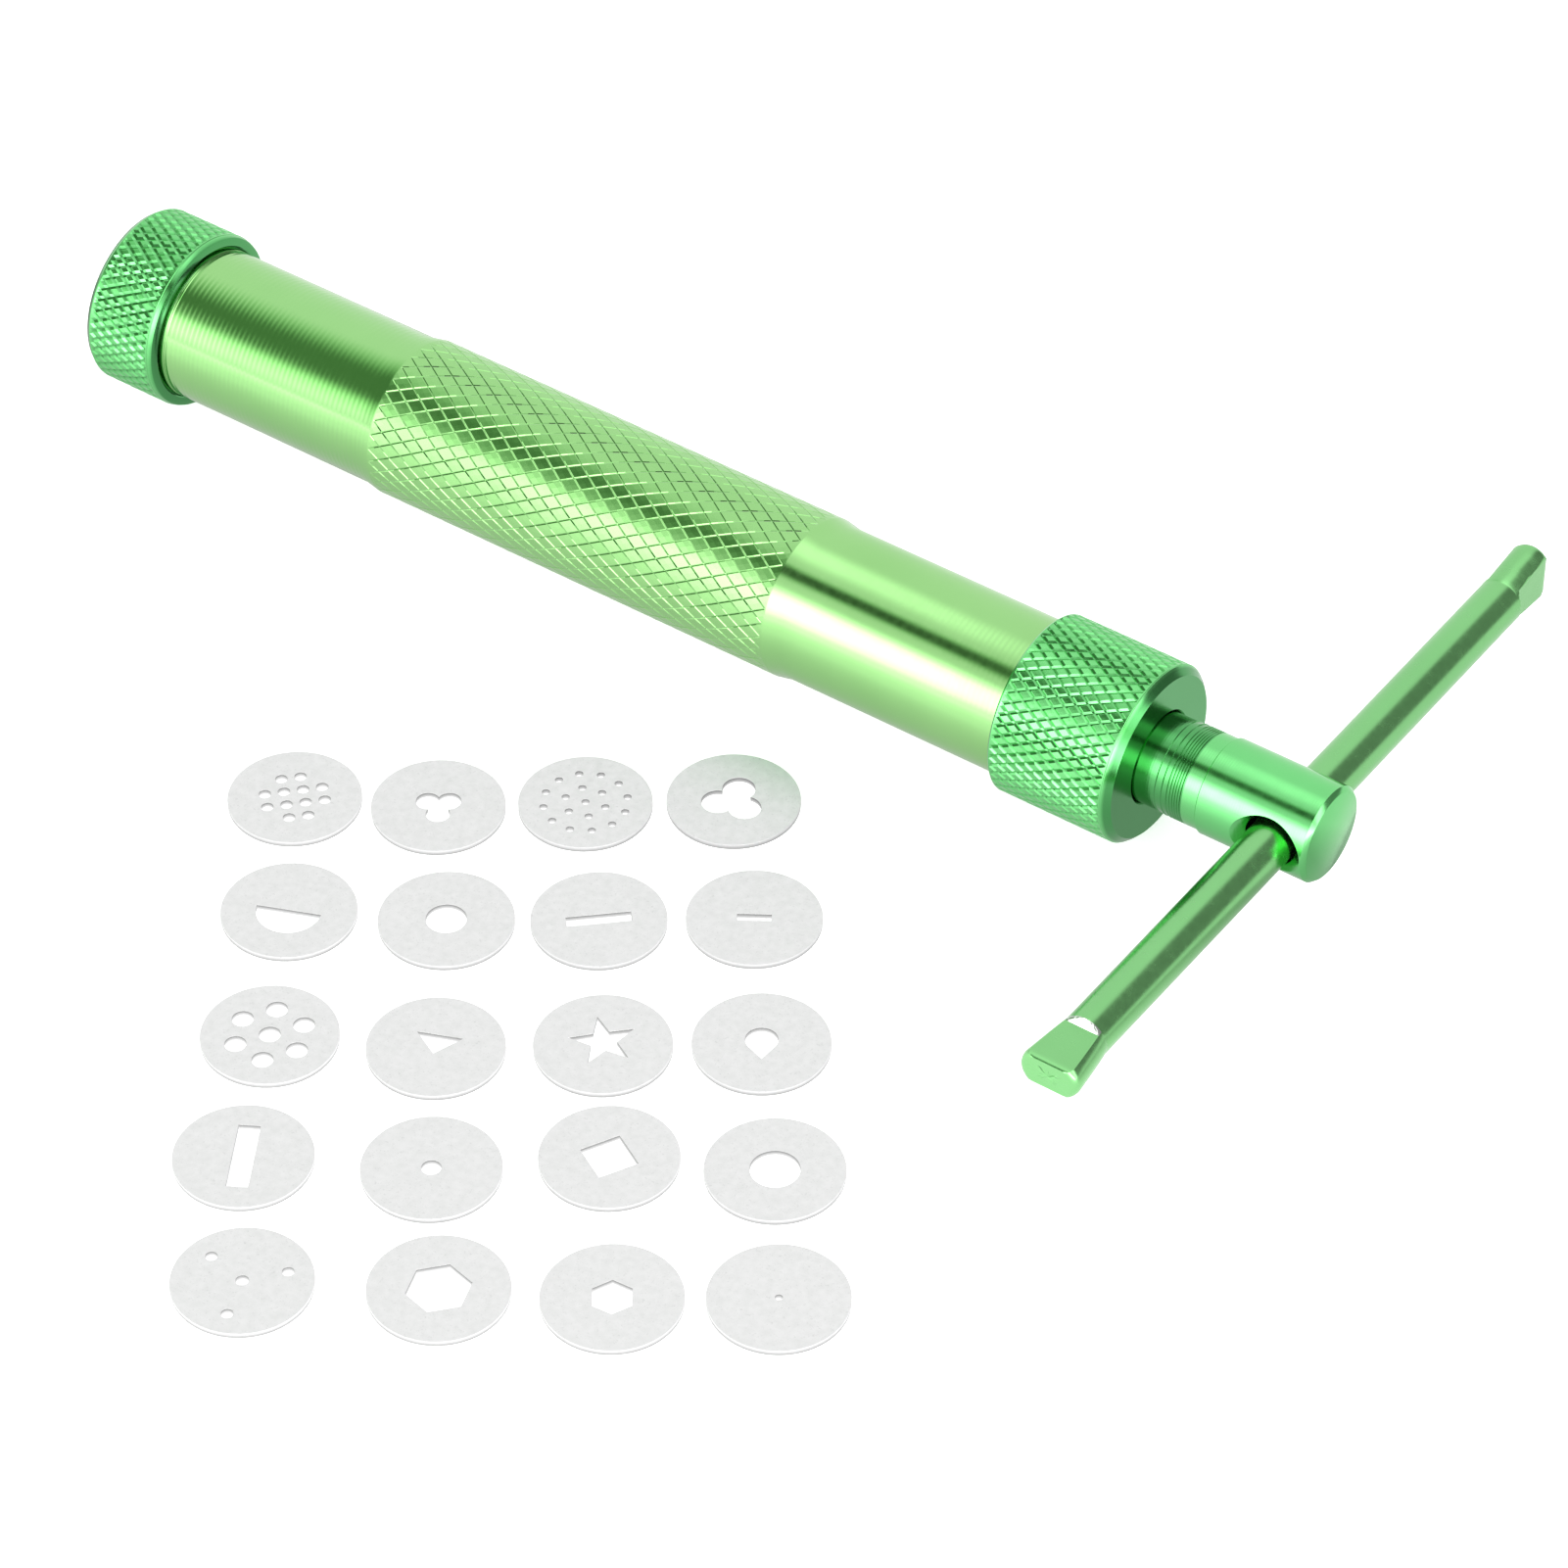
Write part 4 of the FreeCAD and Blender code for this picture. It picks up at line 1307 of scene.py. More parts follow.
@dataclass
class DriveNut(ThreadedCap):
    """The rear nut: skirt and thread inside, a waffle knurl outside, and a thick wall for the screw."""

    wall: float = 7.0
    screw_bore: float = 7.0
    bore_plain: float = 1.2
    bore_edge: float = 0.2
    chamfer: float = 1.1
    chamfer_end: float = 0.12
    band: float = 0.15
    band_step: float = 0.06
    rim_chamfer: float = 0.3
    screw_pitch: float = 2.0
    screw_depth: float = 1.0
    groove_shade_depth: float = 0.36

    @property
    def knurl(self) -> Knurl:
        """The waffle knurl."""
        return Knurl(
            form=KnurlForm.PYRAMID,
            starts=self.knurl_starts,
            rows=12,
            front=self.front + self.rim_chamfer,
            back=self.back - self.chamfer - self.band,
            radius=self.span.radius,
            depth=0.2,
            line=0.2,
            run_out=0.2,
        )

    def build(self) -> bpy.types.Mesh:
        """Build the whole skin of the nut.

        Returns:
            The nut's mesh.
        """
        shell = Shell(self.axis)
        knurl = self.knurl
        angles = even_angles(knurl.points_round)
        front, back, outside, plain = self.front, self.back, self.span.radius, self.plain
        thread = self.inner_thread(front + self.counterbore, back - self.wall)
        form = self.screw_bore, self.screw_depth, self.screw_pitch
        screw_thread = Thread(back - self.wall, back - self.bore_plain, *form, inner=True)
        rim = [(front, self.skirt), (front, outside - self.rim_chamfer), (knurl.front, outside)]
        face = [
            (knurl.back, outside),
            (knurl.back + self.band_step, plain),
            (back - self.chamfer, plain),
            (back - self.chamfer * 0.5, plain - self.chamfer * 0.42),
            (back - self.chamfer_end, plain - self.chamfer * 0.92),
            (back, plain - self.chamfer),
            (back, self.screw_bore + self.bore_edge),
            (back - self.bore_edge, self.screw_bore),
            (screw_thread.back, self.screw_bore),
            (screw_thread.back, screw_thread.end_radius),
        ]
        step = [(screw_thread.front, screw_thread.end_radius), (thread.back, thread.end_radius)]
        skirt = [(thread.front, thread.end_radius), (thread.front, self.skirt), (front, self.skirt)]
        shell.turn(rim, angles)
        knurl.cut(shell)
        shell.turn(face, angles)
        screw_thread.cut(shell, knurl.points_round)
        shell.turn(step, angles)
        thread.cut(shell, knurl.points_round)
        shell.turn(skirt, angles)
        return shell.mesh("rear_nut")

    def dress(self) -> None:
        """Build the nut and give it its green finish."""
        # The nut's finish has painted shade down in its knurl.
        finish = self.finish("green_anodised_nut", self.groove_shade_depth)
        finished(self.build(), finish, "drive_nut", "cap_green", "drive_nut")


@dataclass
class DriveScrew:
    """The drive screw: tapped spigot, long thread, plain neck, and the head with its countersunk hole.

    A collar of the neck's radius, in the head's finish, lies in front of the head.
    """

    axis: Axis
    span: Span
    handle_x: float
    nut_back: float
    head_length: float = 17.8
    crest: float = 6.95
    pitch: float = 2.0
    depth: float = 1.1
    thread_end: float = 1.2
    spigot: float = 4.0
    spigot_chamfer: float = 0.3
    spigot_length: float = 9.65
    tapped: float = 2.05
    tapped_depth: float = 11.0
    drill_point: float = 1.2
    chamfer: float = 0.7
    hole: float = 4.0
    sink: float = 5.6
    sink_depth: float = 1.6
    head_front_chamfer: float = 0.15
    collar: float = 2.35
    collar_drop: float = 0.01
    neck_slope: float = 0.4
    neck_relief: float = 0.14
    neck_rings: tuple[float, ...] = (4.5, 3.45, 2.6, 2.1, 1.65, 1.25, 0.85, 0.45)
    ring_width: float = 0.18
    ring_points: int = 96
    edge_points: int = 20
    skin_rows: int = 9
    skin_crowding: float = 1.4
    rim_steps: int = 40

    @property
    def head(self) -> float:
        """The head's radius."""
        return self.span.radius

    @property
    def head_front(self) -> float:
        """Where the head starts."""
        return float(self.span.high[0]) - self.head_length

    def build(self) -> bpy.types.Mesh:
        """Build the whole skin of the screw.

        Returns:
            The screw's mesh.
        """
        shell = Shell(self.axis)
        angles = even_angles(self.ring_points)
        front, back = float(self.span.low[0]), float(self.span.high[0])
        shoulder = front + self.spigot_length
        thread = Thread(shoulder, self.nut_back - self.thread_end, self.crest, self.depth, self.pitch)
        start = [
            (front + self.tapped_depth + self.drill_point, 0.0),
            (front + self.tapped_depth, self.tapped),
            (front, self.tapped),
            (front, self.spigot - self.spigot_chamfer),
            (front + self.spigot_chamfer, self.spigot),
            (shoulder, self.spigot),
            (shoulder, thread.end_radius),
        ]
        shell.turn(start, angles)
        thread.cut(shell, self.ring_points)
        half = back - self.chamfer - self.handle_x
        shell.turn(self.neck(thread) + [(self.handle_x - half, self.head)], angles)
        self.drilled(shell, half)
        end = [
            (self.handle_x + half, self.head),
            (back - self.chamfer * 0.12, self.head - self.chamfer * 0.75),
            (back, self.head - self.chamfer),
            (back, 0.0),
        ]
        shell.turn(end, angles)
        return shell.mesh("drive_screw_and_head")

    def neck(self, thread: Thread) -> list[tuple[float, float]]:
        """The neck, turned down a little, with the raised rings that the tool left, and the collar.

        Args:
            thread: the screw's thread, which the neck follows.

        Returns:
            Pairs of distance along X and radius, up to the head.
        """
        collar, low = self.crest - self.collar_drop, self.crest - self.neck_relief
        outline = [(thread.back, thread.end_radius), (thread.back + self.neck_slope, low)]
        for back_by in self.neck_rings:
            place = self.head_front - self.collar - back_by
            outline += [(place, low), (place + self.ring_width / 2, collar), (place + self.ring_width, low)]
        front = self.head_front - self.collar
        outline += [(front, low), (front, collar), (self.head_front, collar)]
        edge = self.head_front_chamfer
        return outline + [(self.head_front, self.head - edge), (self.head_front + edge, self.head)]

    def rim(self, turn: np.ndarray) -> tuple[np.ndarray, np.ndarray]:
        """The edge of the countersink on the round head, where the cone meets the cylinder.

        The cone's radius grows with the distance from the head's axis, and that distance falls with the
        radius, so the two are brought together step by step.

        Args:
            turn: angles about the hole's own axis.

        Returns:
            The edge's distance from the hole's axis, and its distance from the head's axis.
        """
        neck = self.head - self.sink_depth
        slope = (self.sink - self.hole) / self.sink_depth
        radius = np.full_like(turn, self.sink)
        for _ in range(self.rim_steps):
            reach = np.sqrt(self.head**2 - (radius * np.sin(turn)) ** 2)
            radius = 0.5 * radius + 0.5 * (self.hole + slope * np.maximum(reach - neck, 0))
        return radius, reach

    def frame_round(self, half: float) -> tuple[np.ndarray, np.ndarray]:
        """The edge of the stretch that is drilled: half a turn of each end ring, and the lines between them.

        Args:
            half: half the stretch's length.

        Returns:
            Distances from the hole along X, and angles up from the hole about the head.
        """
        arc = np.linspace(-np.pi / 2, np.pi / 2, self.ring_points // 2 + 1)[:-1]
        line = np.linspace(half, -half, self.edge_points + 1)[:-1]
        along = np.concatenate([np.full(len(arc), half), line])
        up = np.concatenate([arc, np.full(len(line), np.pi / 2)])
        return np.concatenate([along, -along]), np.concatenate([up, -up])

    def drilled(self, shell: Shell, half: float) -> None:
        """Add the drilled stretch: the round skin from its edge to the hole, the countersinks and the wall.

        The skin's grid runs straight from the edge to the hole's rim, in distance along and angle about the
        head.

        Args:
            shell: the skin of the piece.
            half: half the stretch's length.
        """
        along, up = self.frame_round(half)
        turn = np.arctan2(up * self.head, along)
        radius, reach = self.rim(turn)
        rim_along, rim_up = radius * np.cos(turn), np.arcsin(radius * np.sin(turn) / self.head)
        share = (np.linspace(0, 1, self.skin_rows) ** self.skin_crowding)[:, None]
        skin_along = rim_along + share * (along - rim_along)
        skin_up = rim_up + share * (up - rim_up)
        neck = self.head - self.sink_depth
        slope = (self.sink - self.hole) / self.sink_depth
        for side in (-1, 1):
            angles = np.pi - skin_up if side < 0 else skin_up
            x = self.handle_x + skin_along
            faces = grid_faces(len(share), len(turn))
            if side < 0:
                faces = faces[:, ::-1]
            rings = shell.axis.rings(x, np.full_like(x, self.head), angles)
            shell.patch(rings, faces, around(0.0, 1.0, angles))
            inner = np.full_like(turn, side * neck), self.hole
            self.wall(shell, turn, (side * reach, radius), inner, side, slope)
        near, far = ((np.full_like(turn, side * neck), self.hole) for side in (-1, 1))
        self.wall(shell, turn, near, far, -1, 0.0)

    def wall(
        self, shell: Shell, turn: np.ndarray, outer: tuple, inner: tuple, side: int, slope: float
    ) -> None:
        """Add a ring of the hole's wall between two edges, each a distance across the head and a radius.

        Args:
            shell: the skin of the piece.
            turn: the angles of the points about the hole.
            outer: the edge on the side that the wall starts from.
            inner: the edge that it ends at.
            side: which way it runs, -1 from -Y.
            slope: how fast a countersink opens.
        """
        rows = []
        for across, radius in (outer, inner):
            x, z = self.handle_x + radius * np.cos(turn), self.axis.z + radius * np.sin(turn)
            rows.append(np.stack([x, self.axis.y + across, z], axis=-1))
        size = math.hypot(1, slope)
        normal = np.stack([-np.cos(turn), np.full_like(turn, side * slope), -np.sin(turn)], axis=-1) / size
        faces = grid_faces(2, len(turn))
        if side > 0:
            faces = faces[:, ::-1]
        shell.patch(np.stack(rows), faces, np.stack([normal, normal]))

    def dress(self) -> None:
        """Build the screw and give it its green finish, with painted shade on the neck and the thread."""
        finish = AnodisedAluminium(
            "green_anodised_screw",
            CAP_GREEN,
            CAP_DARK_TONE_AND_SHADE,
            roughness=0.17,
            ring_pitch=0.4,
            ring_height=0.0008,
            # Painted shade on everything in front of the collar.
            neck_shade_until=self.head_front - self.collar,
        )
        finished(self.build(), finish.material(self.axis), "drive_screw", "cap_green", "drive_screw")


@dataclass
class CrossBar:
    """The loose T bar: a round rod whose two ends are pressed flat, each at its own angle."""

    span: Span
    radius: float = 3.5
    press_length: float = 9.0
    slope: float = 0.8
    half_width: float = 4.6
    half_depth: float = 3.7
    half_thickness: float = 2.45
    tip_length: float = 1.2
    tip_inset: float = 0.8
    flat_inset_share: float = 0.35
    stations: tuple[float, ...] = (10.5, 9.4, 9.0, 8.96, 8.8, 8.6, 8.4, 8.2, 7.9, 6.8, 5.4, 3.9, 2.6)
    tip_stations: tuple[float, ...] = (1.2, 0.75, 0.4, 0.15, 0.0)
    quarter_points: int = 17
    tip_roughness: float = 0.05
    tip_shares: tuple[float, ...] = (0.86, 0.6, 0.3, 0.0)

    @property
    def centre(self) -> tuple[float, float]:
        """The rod's own axis, in X and Z."""
        return float(self.span.middle[0]), float(self.span.middle[2])

    def section(self, wide: float, deep: float, flat: float) -> np.ndarray:
        """One section: an oval whose top and bottom are cut off at the flat's height, even when it is round.

        Args:
            wide: half its width.
            deep: half its height before it is pressed.
            flat: half the thickness between the two flats.

        Returns:
            Points as pairs of sideways and up, round the section.
        """
        corner = min(math.asin(min(flat / deep, 1.0)), math.pi / 4)
        side = np.linspace(-corner, corner, self.quarter_points + 1)
        top = np.linspace(corner, math.pi - corner, self.quarter_points + 1)[:-1]
        turn = np.concatenate([side[:-1], top, side[:-1] + math.pi, top + math.pi])
        return np.stack([wide * np.cos(turn), np.clip(deep * np.sin(turn), -flat, flat)], axis=1)

    def end_sections(self) -> list[tuple[float, np.ndarray]]:
        """The sections of one end, from the round rod to the rough tip.

        The section widens over the pressed length, sinks to its flats over the slope, and is drawn in over
        the tip's length on a quarter circle.

        Returns:
            Pairs of a distance from the tip and a section.
        """
        stations = np.array(self.stations + self.tip_stations)
        grown = np.clip((self.press_length - stations) / (self.press_length - self.tip_length), 0, 1)
        wide = self.radius + (self.half_width - self.radius) * grown**0.8
        deep = self.radius + (self.half_depth - self.radius) * grown
        sunk = np.clip((self.press_length - stations) / self.slope, 0, 1)
        pressed = self.radius + (self.half_thickness - self.radius) * sunk
        flat = np.where(stations >= self.press_length, deep, pressed)
        inset = self.tip_inset * (1 - np.sqrt(1 - np.clip(1 - stations / self.tip_length, 0, 1) ** 2))
        sizes = np.stack([wide - inset, deep - inset, flat - inset * self.flat_inset_share], axis=1)
        return [(place, self.section(*size)) for place, size in zip(stations, sizes)]

    def build(self) -> bpy.types.Mesh:
        """Build the whole skin of the bar, as a row of sections closed at both rough tips.

        Returns:
            The bar's mesh.
        """
        near, far = float(self.span.low[1]), float(self.span.high[1])
        ends = self.end_sections()
        rows = []
        for distance, section in reversed(ends):
            rows.append((near + distance, section))
        for distance, section in ends:
            rows.append((far - distance, np.stack([section[:, 1], section[:, 0]], axis=1)[::-1]))
        count = len(ends[0][1])
        for number in range(len(ends), len(rows)):
            place, section = rows[number]
            rows[number] = (place, np.roll(section, self.matched(rows[len(ends) - 1][1], section), axis=0))
        points = np.stack([self.placed(place, section) for place, section in rows])
        points = np.concatenate([self.tip(points[0], -1)[::-1], points, self.tip(points[-1], 1)])
        faces = grid_faces(len(points), count)[:, ::-1]
        return self.closed(points.reshape(-1, 3), faces, count)

    def placed(self, place: float, section: np.ndarray) -> np.ndarray:
        """Put a section in its place.

        Args:
            place: where it lies along Y.
            section: its points as pairs of sideways and up.

        Returns:
            Its points.
        """
        sideways, up = section.T
        centre_x, centre_z = self.centre
        return np.stack([centre_x + sideways, np.full_like(up, place), centre_z + up], axis=1)

    @staticmethod
    def matched(pattern: np.ndarray, section: np.ndarray) -> int:
        """How far to roll a section so that its points start where the pattern's do."""
        return -int(np.argmin(((section - pattern[0]) ** 2).sum(1)))

    def tip(self, edge: np.ndarray, side: int) -> np.ndarray:
        """Rings that close a tip, drawn in towards its middle, with the roughness of metal torn by shearing.

        Args:
            edge: the last section's points.
            side: which way the tip faces along Y.

        Returns:
            Rings of points, the innermost drawn to one point.
        """
        middle = edge.mean(axis=0)
        rng = np.random.default_rng(RNG_SEED + side)
        rings = []
        for share in self.tip_shares:
            ring = middle + share * (edge - middle)
            ring[:, 1] -= side * np.abs(rng.normal(0.0, self.tip_roughness, len(ring))) * (share > 0)
            rings.append(ring)
        return np.stack(rings)

    @staticmethod
    def closed(points: np.ndarray, faces: np.ndarray, count: int) -> bpy.types.Mesh:
        """Make the bar's mesh, merge its two tips and smooth it but for its pressed edges.

        Args:
            points: all points, section by section.
            faces: the quads between the sections.
            count: how many points a section has.

        Returns:
            The mesh.
        """
        made = bpy.data.meshes.new("handle_bar")
        made.from_pydata((points * METRE).tolist(), [], faces.tolist())
        work = bmesh.new()
        work.from_mesh(made)
        bmesh.ops.remove_doubles(work, verts=work.verts, dist=MERGE_STEP * METRE)
        bmesh.ops.recalc_face_normals(work, faces=work.faces)
        work.to_mesh(made)
        work.free()
        made.shade_smooth()
        made.set_sharp_from_angle(angle=math.radians(SMOOTH_LIMIT))
        return made

    def dress(self, axis: Axis) -> None:
        """Build the bar and give it its green finish.

        Args:
            axis: the extruder's axis.
        """
        finish = AnodisedAluminium(
            "green_anodised_bar",
            BAR_GREEN,
            BAR_DEEP,
            roughness=0.24,
            ring_pitch=0.9,
            ring_height=0.0005,
            bare_shoulder=(
                float(self.span.low[1]) + self.press_length - self.slope,
                float(self.span.low[1]) + self.press_length,
                self.centre[1] + self.half_thickness,
            ),
            across_y=True,
        )
        finished(self.build(), finish.material(axis), "cross_bar", "green_anodised", "cross_bar")


@dataclass
class DieSet:
    """The twenty punched discs, each a bevelled copy of its CAD node."""

    body: str = "drive_screw"
    level_angle: float = 1.0
    sharp_angle: float = 60.0
    bevel: float = 0.04
    rim_width: float = 0.3
    opening_foot_shade: float = 0.1
    rim_foot_shadow: float = 0.8
    face_upright: float = 0.9999
    wall_upright: float = 0.001
    face_weight: float = 1e6
    wall_weight: float = 1e3

    def discs(self) -> list[str]:
        """The names of the disc nodes."""
        return sorted(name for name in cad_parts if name.startswith("disc_"))

    def build(self, node: str) -> bpy.types.Mesh:
        """Copy a disc, merge its loose triangles, break its sharp edges and mark the painted shade on its
        walls.

        Args:
            node: the disc's CAD node.

        Returns:
            The disc's mesh.
        """
        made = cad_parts[node].data.copy()
        made.name = node.replace("disc_", "die_")
        made.materials.clear()
        work = bmesh.new()
        work.from_mesh(made)
        bmesh.ops.remove_doubles(work, verts=work.verts, dist=MERGE_STEP * METRE)
        bmesh.ops.dissolve_limit(
            work,
            angle_limit=math.radians(self.level_angle),
            verts=work.verts,
            edges=work.edges,
            use_dissolve_boundaries=False,
        )
        sharp = [edge for edge in work.edges if self.level(edge) and self.bent(edge)]
        bmesh.ops.bevel(work, geom=sharp, offset=self.bevel * METRE, segments=2, profile=0.5, affect="EDGES")
        bmesh.ops.triangulate(work, faces=[face for face in work.faces if len(face.verts) > 4])
        work.to_mesh(made)
        work.free()
        self.mark_wall_shade(made, Span.of(node))
        upright = np.abs(read(made.polygons, "normal", 3)[:, 2])
        weights = np.where(upright < self.wall_upright, self.wall_weight, 1.0)
        harden(made, np.where(upright > self.face_upright, self.face_weight, weights))
        return made

    def bent(self, edge: bmesh.types.BMEdge) -> bool:
        """Whether the two faces at an edge meet sharply."""
        return edge.calc_face_angle(0.0) > math.radians(self.sharp_angle)

    @staticmethod
    def level(edge: bmesh.types.BMEdge) -> bool:
        """Whether an edge lies in the disc's top or bottom face."""
        first, second = edge.verts
        return abs(first.co.z - second.co.z) < MERGE_STEP * METRE

    def mark_wall_shade(self, mesh: bpy.types.Mesh, span: Span) -> None:
        """Keep a share of painted shade on each point: high at the top of an opening's wall, and at the foot
        of the rim as a painted contact shadow.

        Args:
            mesh: the disc's mesh.
            span: the disc's box.
        """
        places = read(mesh.vertices, "co", 3) / METRE
        away = np.hypot(places[:, 0] - span.middle[0], places[:, 1] - span.middle[1])
        height = places[:, 2] - span.low[2]
        thick = span.high[2] - span.low[2]
        within = (height > self.bevel * 0.5) & (height < thick - self.bevel * 0.5)
        inside = away < (span.high[0] - span.low[0]) / 2 - self.rim_width
        upper = height > thick / 2
        # Painted shade: dark high inside the openings, and a painted contact shadow at the rim's foot.
        share = np.where(inside, np.where(upper, 1.0, self.opening_foot_shade), np.where(upper, 0.0, self.rim_foot_shadow))
        layer = mesh.attributes.new("painted_wall_shade", "FLOAT", "POINT")
        layer.data.foreach_set("value", (share * within).astype(np.float32))

    def dress(self) -> None:
        """Build all the discs and give them one stainless finish."""
        material = StainlessSheet().material()
        for node in self.discs():
            piece = finished(self.build(node), material, self.body, "die_steel", node)
            piece.visible_glossy = False


@dataclass
class Plunger:
    """The piston, its ring, the thrust washer and the pan head screw, which keep their CAD shapes."""

    turned: PlainMetal = PlainMetal("turned_aluminium", grey(0.62), grey(0.5), 0.24)
    plated: PlainMetal = PlainMetal("plated_steel", tint(0.60, 0.61, 0.63), tint(0.48, 0.49, 0.5), 0.2)
    rubber: NitrileRubber = NitrileRubber()

    def dress(self) -> None:
        """Give each hidden node its own material."""
        steel = self.plated.material()
        chosen = {
            "piston": self.turned.material(),
            "piston_o_ring": self.rubber.material(),
            "thrust_washer": steel,
            "piston_screw": steel,
        }
        for node, material in chosen.items():
            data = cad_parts[node].data
            data.materials.clear()
            data.materials.append(material)
            log.info("%s keeps its CAD shape", node)


@dataclass
class Studio:
    """A pale table, soft light from a tent with a dark gap, a bright panel and a lamp, and the camera.

    Names that end in ways give the stretch of directions, by their share along X, over which the light
    changes. Names that end in levels give its level at the two ends of that stretch.
    """

    floor_reach: float = 4000.0
    floor_drop: float = 0.02
    turn: float = 35.14
    pitch: float = 42.35
    distance: float = 901.8
    target: tuple[float, float, float] = (29.1, 20.8, 0.0)
    focal_pixels: float = 6503.0
    frame_pixels: float = 1601.0
    sensor: float = 36.0
    clip_range: tuple[float, float] = (0.05, 50.0)
    gap_middle: float = 115.0
    gap_core: float = 3.0
    gap_reaches: tuple[float, float] = (50.0, 18.0)
    reach_ways: tuple[float, float] = (-0.51, -0.42)
    gap_sharpening: float = 0.7
    right_ways: tuple[float, float] = (-0.42, -0.36)
    gap_widening: float = 31.0
    wide_ways: tuple[float, float] = (-0.9, -0.52)
    gap_levels: tuple[float, float] = (0.17, 0.07)
    gap_tint: tuple[float, float, float, float] = tint(0.8, 1.35, 0.75)
    panel_rise: tuple[float, float] = (134.0, 155.0)
    panel_fall: tuple[float, float] = (162.0, 190.0)
    panel_levels: tuple[float, float] = (0.95, 3.3)
    panel_ways: tuple[float, float] = (-0.50, -0.36)
    panel_end_ways: tuple[float, float] = (-0.8, -0.6)
    lamp_middle: float = 78.0
    lamp_spread: tuple[float, float] = (3.0, 22.0)
    lamp_level: float = 0.62
    lamp_ways: tuple[float, float] = (-0.41, -0.35)
    screen_start: tuple[float, float] = (0.2, 0.4)
    screen_level: float = 0.27
    screen_foot: float = 0.72
    foot_angles: tuple[float, float] = (2.0, 8.0)
    top_angles: tuple[float, float] = (70.0, 90.0)
    side_level: float = 1.3
    side_ways: tuple[float, float] = (0.6, 0.72)
    table_white: tuple[float, float, float, float] = grey(0.86)
    floor_glow: float = 0.62
    near_stretch: tuple[float, float] = (40.0, -10.0)
    floor_near: tuple[float, float] = (0.58, 1.3)
    far_stretch: tuple[float, float] = (-10.0, -250.0)
    floor_far: float = 0.8
    behind_stretch: tuple[float, float] = (48.0, 60.0)
    floor_behind: float = 0.42

    def floor(self) -> None:
        """A wide pale table top just under the object."""
        reach, height = self.floor_reach * METRE, -self.floor_drop * METRE
        ways = ((-1, -1), (1, -1), (1, 1), (-1, 1))
        corners = [(reach * right, reach * back, height) for right, back in ways]
        mesh = bpy.data.meshes.new("table_top")
        mesh.from_pydata(corners, [], [(0, 1, 2, 3)])
        mesh.materials.append(self.floor_material())
        top = bpy.data.objects.new("table_top", mesh)
        bpy.context.scene.collection.objects.link(top)
        top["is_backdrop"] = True

    def floor_material(self) -> bpy.types.Material:
        """Near-white paint, which glows a little to the camera and keeps its shadow.

        In reflections it is lit evenly, brighter with the distance in front of the extruder, and a little
        brighter behind it.

        Returns:
            The material.
        """
        paint = Paint("table_white")
        rays = paint.add("ShaderNodeLightPath").outputs
        reflected = paint.sum("MAXIMUM", rays["Is Glossy Ray"], rays["Is Transmission Ray"])
        ahead = paint.sum("DIVIDE", paint.split(paint.place)[1], METRE)
        near = paint.spread(ahead, self.near_stretch, self.floor_near)
        far = paint.spread(ahead, self.far_stretch, (0.0, self.floor_far))
        behind = paint.spread(ahead, self.behind_stretch, (0.0, self.floor_behind))
        mirrored = paint.sum("MULTIPLY", reflected, paint.sum("ADD", paint.sum("ADD", near, far), behind))
        glow = paint.sum("MULTIPLY_ADD", rays["Is Camera Ray"], self.floor_glow, mirrored)
        paint.feed(paint.shader, {"Roughness": 0.9, "Specular IOR Level": 0.0, "Emission Color": grey(1.0)})
        paint.colour(paint.mixed(reflected, self.table_white, grey(0.0)))
        paint.join(glow, paint.shader.inputs["Emission Strength"])
        return paint.material

    def world(self) -> None:
        """The tent: white cloth, a dark gap, a bright panel and a lamp overhead, and a dark screen behind.

        The gap, the panel and the lamp lie along X, at angles about it. The gap is wide toward -X and narrow
        toward +X. The panel is brighter toward +X, the lamp shines only there, and the side at +X is bright.
        """
        world = bpy.data.worlds.new("light_tent")
        bpy.context.scene.world = world
        world.use_nodes = True
        sky = Nodes(world.node_tree)
        along, ahead, up = sky.split(sky.add("ShaderNodeTexCoord").outputs["Generated"])
        about_x = self.degrees(sky, up, ahead)
        reach = sky.spread(along, self.reach_ways, self.gap_reaches)
        reach = sky.sum("MULTIPLY", reach, sky.spread(along, self.right_ways, (1.0, self.gap_sharpening)))
        wider = sky.spread(along, self.wide_ways, (self.gap_widening, 0.0))
        edge = sky.sum("SUBTRACT", sky.away(about_x, self.gap_middle), wider)
        cloth = sky.spread(edge, (self.gap_core, reach), (0.0, 1.0), soft=True)
        light = sky.spread(cloth, (0.0, 1.0), (sky.spread(along, self.right_ways, self.gap_levels), 1.0))
        behind = sky.spread(ahead, self.screen_start, (0.0, 1.0), soft=True)
        screen = sky.spread(behind, (0.0, 1.0), (1.0, self.screen(sky, along, up)))
        light = sky.sum("MULTIPLY", light, screen)
        strip = sky.spread(about_x, self.panel_rise, (0.0, 1.0), soft=True)
        strip = sky.sum("MULTIPLY", strip, sky.spread(about_x, self.panel_fall, (1.0, 0.0), soft=True))
        strength = sky.spread(along, self.panel_ways, self.panel_levels)
        strength = sky.sum("MULTIPLY", strength, sky.spread(along, self.panel_end_ways, (0.0, 1.0)))
        light = sky.sum("MULTIPLY_ADD", strip, strength, light)
        off_lamp = sky.away(about_x, self.lamp_middle)
        lamp = sky.spread(off_lamp, self.lamp_spread, (self.lamp_level, 0.0), soft=True)
        light = sky.sum("MULTIPLY_ADD", lamp, sky.spread(along, self.lamp_ways, (0.0, 1.0)), light)
        right = sky.spread(along, self.side_ways, (0.0, self.side_level), soft=True)
        right = sky.sum("MULTIPLY", right, sky.sum("SUBTRACT", 1.0, behind))
        light = sky.sum("ADD", light, right)
        background = world.node_tree.nodes["Background"]
        sky.join(sky.mixed(cloth, self.gap_tint, grey(1.0)), background.inputs["Color"])
        sky.join(light, background.inputs["Strength"])

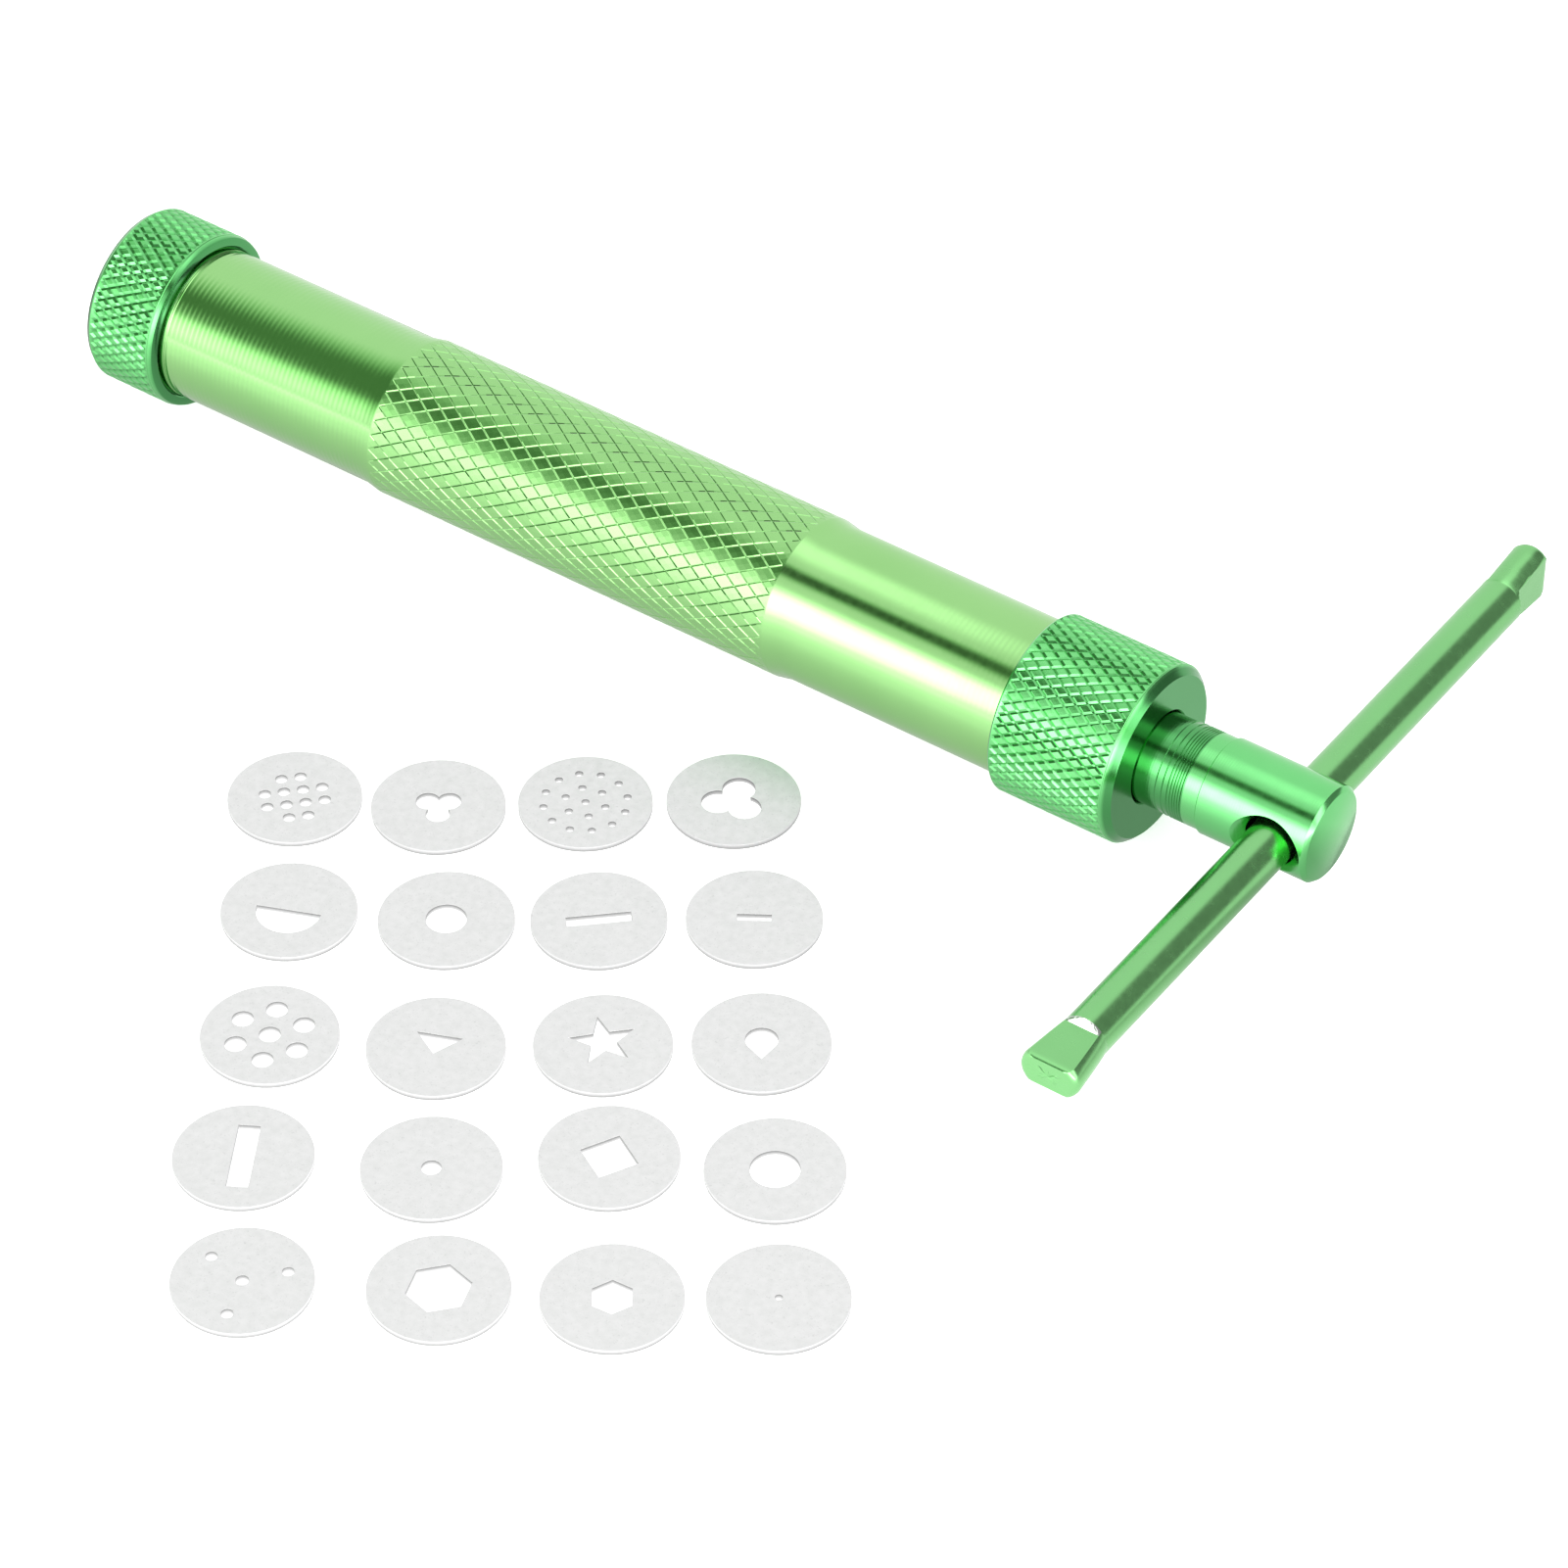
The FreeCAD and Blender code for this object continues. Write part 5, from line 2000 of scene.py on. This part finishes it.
    def screen(
        self, sky: Nodes, along: bpy.types.NodeSocket, up: bpy.types.NodeSocket
    ) -> bpy.types.NodeSocket:
        """The level of the dark screen, by its angle about Y: medium at its foot, dark up to its top edge.

        Args:
            sky: the world's nodes.
            along: the direction's share along X.
            up: its share upwards.

        Returns:
            The level, from zero to one.
        """
        about_y = self.degrees(sky, up, along)
        foot = sky.spread(about_y, self.foot_angles, (self.screen_foot, self.screen_level))
        top = sky.spread(about_y, self.top_angles, (self.screen_level, 1.0), soft=True)
        return sky.sum("MAXIMUM", foot, top)

    @staticmethod
    def degrees(sky: Nodes, rise: bpy.types.NodeSocket, run: bpy.types.NodeSocket) -> bpy.types.NodeSocket:
        """The angle whose tangent is the rise over the run, in degrees."""
        return sky.sum("MULTIPLY", sky.sum("ARCTAN2", rise, run), math.degrees(1.0))

    def camera(self) -> None:
        """The camera, at the viewing angle that fits the whole table."""
        turn, pitch = math.radians(self.turn), math.radians(self.pitch)
        level = math.cos(pitch)
        forward = Vector((-math.sin(turn) * level, math.cos(turn) * level, -math.sin(pitch)))
        right = Vector((math.cos(turn), math.sin(turn), 0.0))
        up = right.cross(forward)
        data = bpy.data.cameras.new("photo_camera")
        data.sensor_width = self.sensor
        data.lens = self.focal_pixels / self.frame_pixels * self.sensor
        data.clip_start, data.clip_end = self.clip_range
        made = bpy.data.objects.new("photo_camera", data)
        bpy.context.scene.collection.objects.link(made)
        turned = Matrix((right, up, -forward)).transposed().to_4x4()
        place = Vector(self.target) * METRE - forward * self.distance * METRE
        made.matrix_world = Matrix.Translation(place) @ turned
        bpy.context.scene.camera = made

    def build(self) -> None:
        """Set up the table, the light and the camera."""
        self.floor()
        self.world()
        self.camera()
        bpy.context.scene.view_settings.view_transform = "Standard"


def corners() -> list[list[float]]:
    """The shown object's lowest and highest corners as plain lists."""
    return [list(corner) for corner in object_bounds()]


def main() -> None:
    """Build the extruder's pieces in order, dress them and set up the studio."""
    logging.basicConfig(level=logging.INFO, format="%(name)s: %(message)s")
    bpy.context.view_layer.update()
    barrel, cap, nut = Span.of("barrel"), Span.of("die_cap"), Span.of("drive_nut")
    screw, bar = Span.of("drive_screw"), Span.of("cross_bar")
    axis = Axis(float(barrel.middle[1]), float(barrel.middle[2]))
    Barrel(axis, barrel, float(cap.high[0]), float(nut.low[0])).dress()
    DieCap(axis, cap).dress()
    DriveNut(axis, nut).dress()
    DriveScrew(axis, screw, float(bar.middle[0]), float(nut.high[0])).dress()
    CrossBar(bar).dress(axis)
    DieSet().dress()
    Plunger().dress()
    Studio().build()


if __name__ == "__main__":
    main()
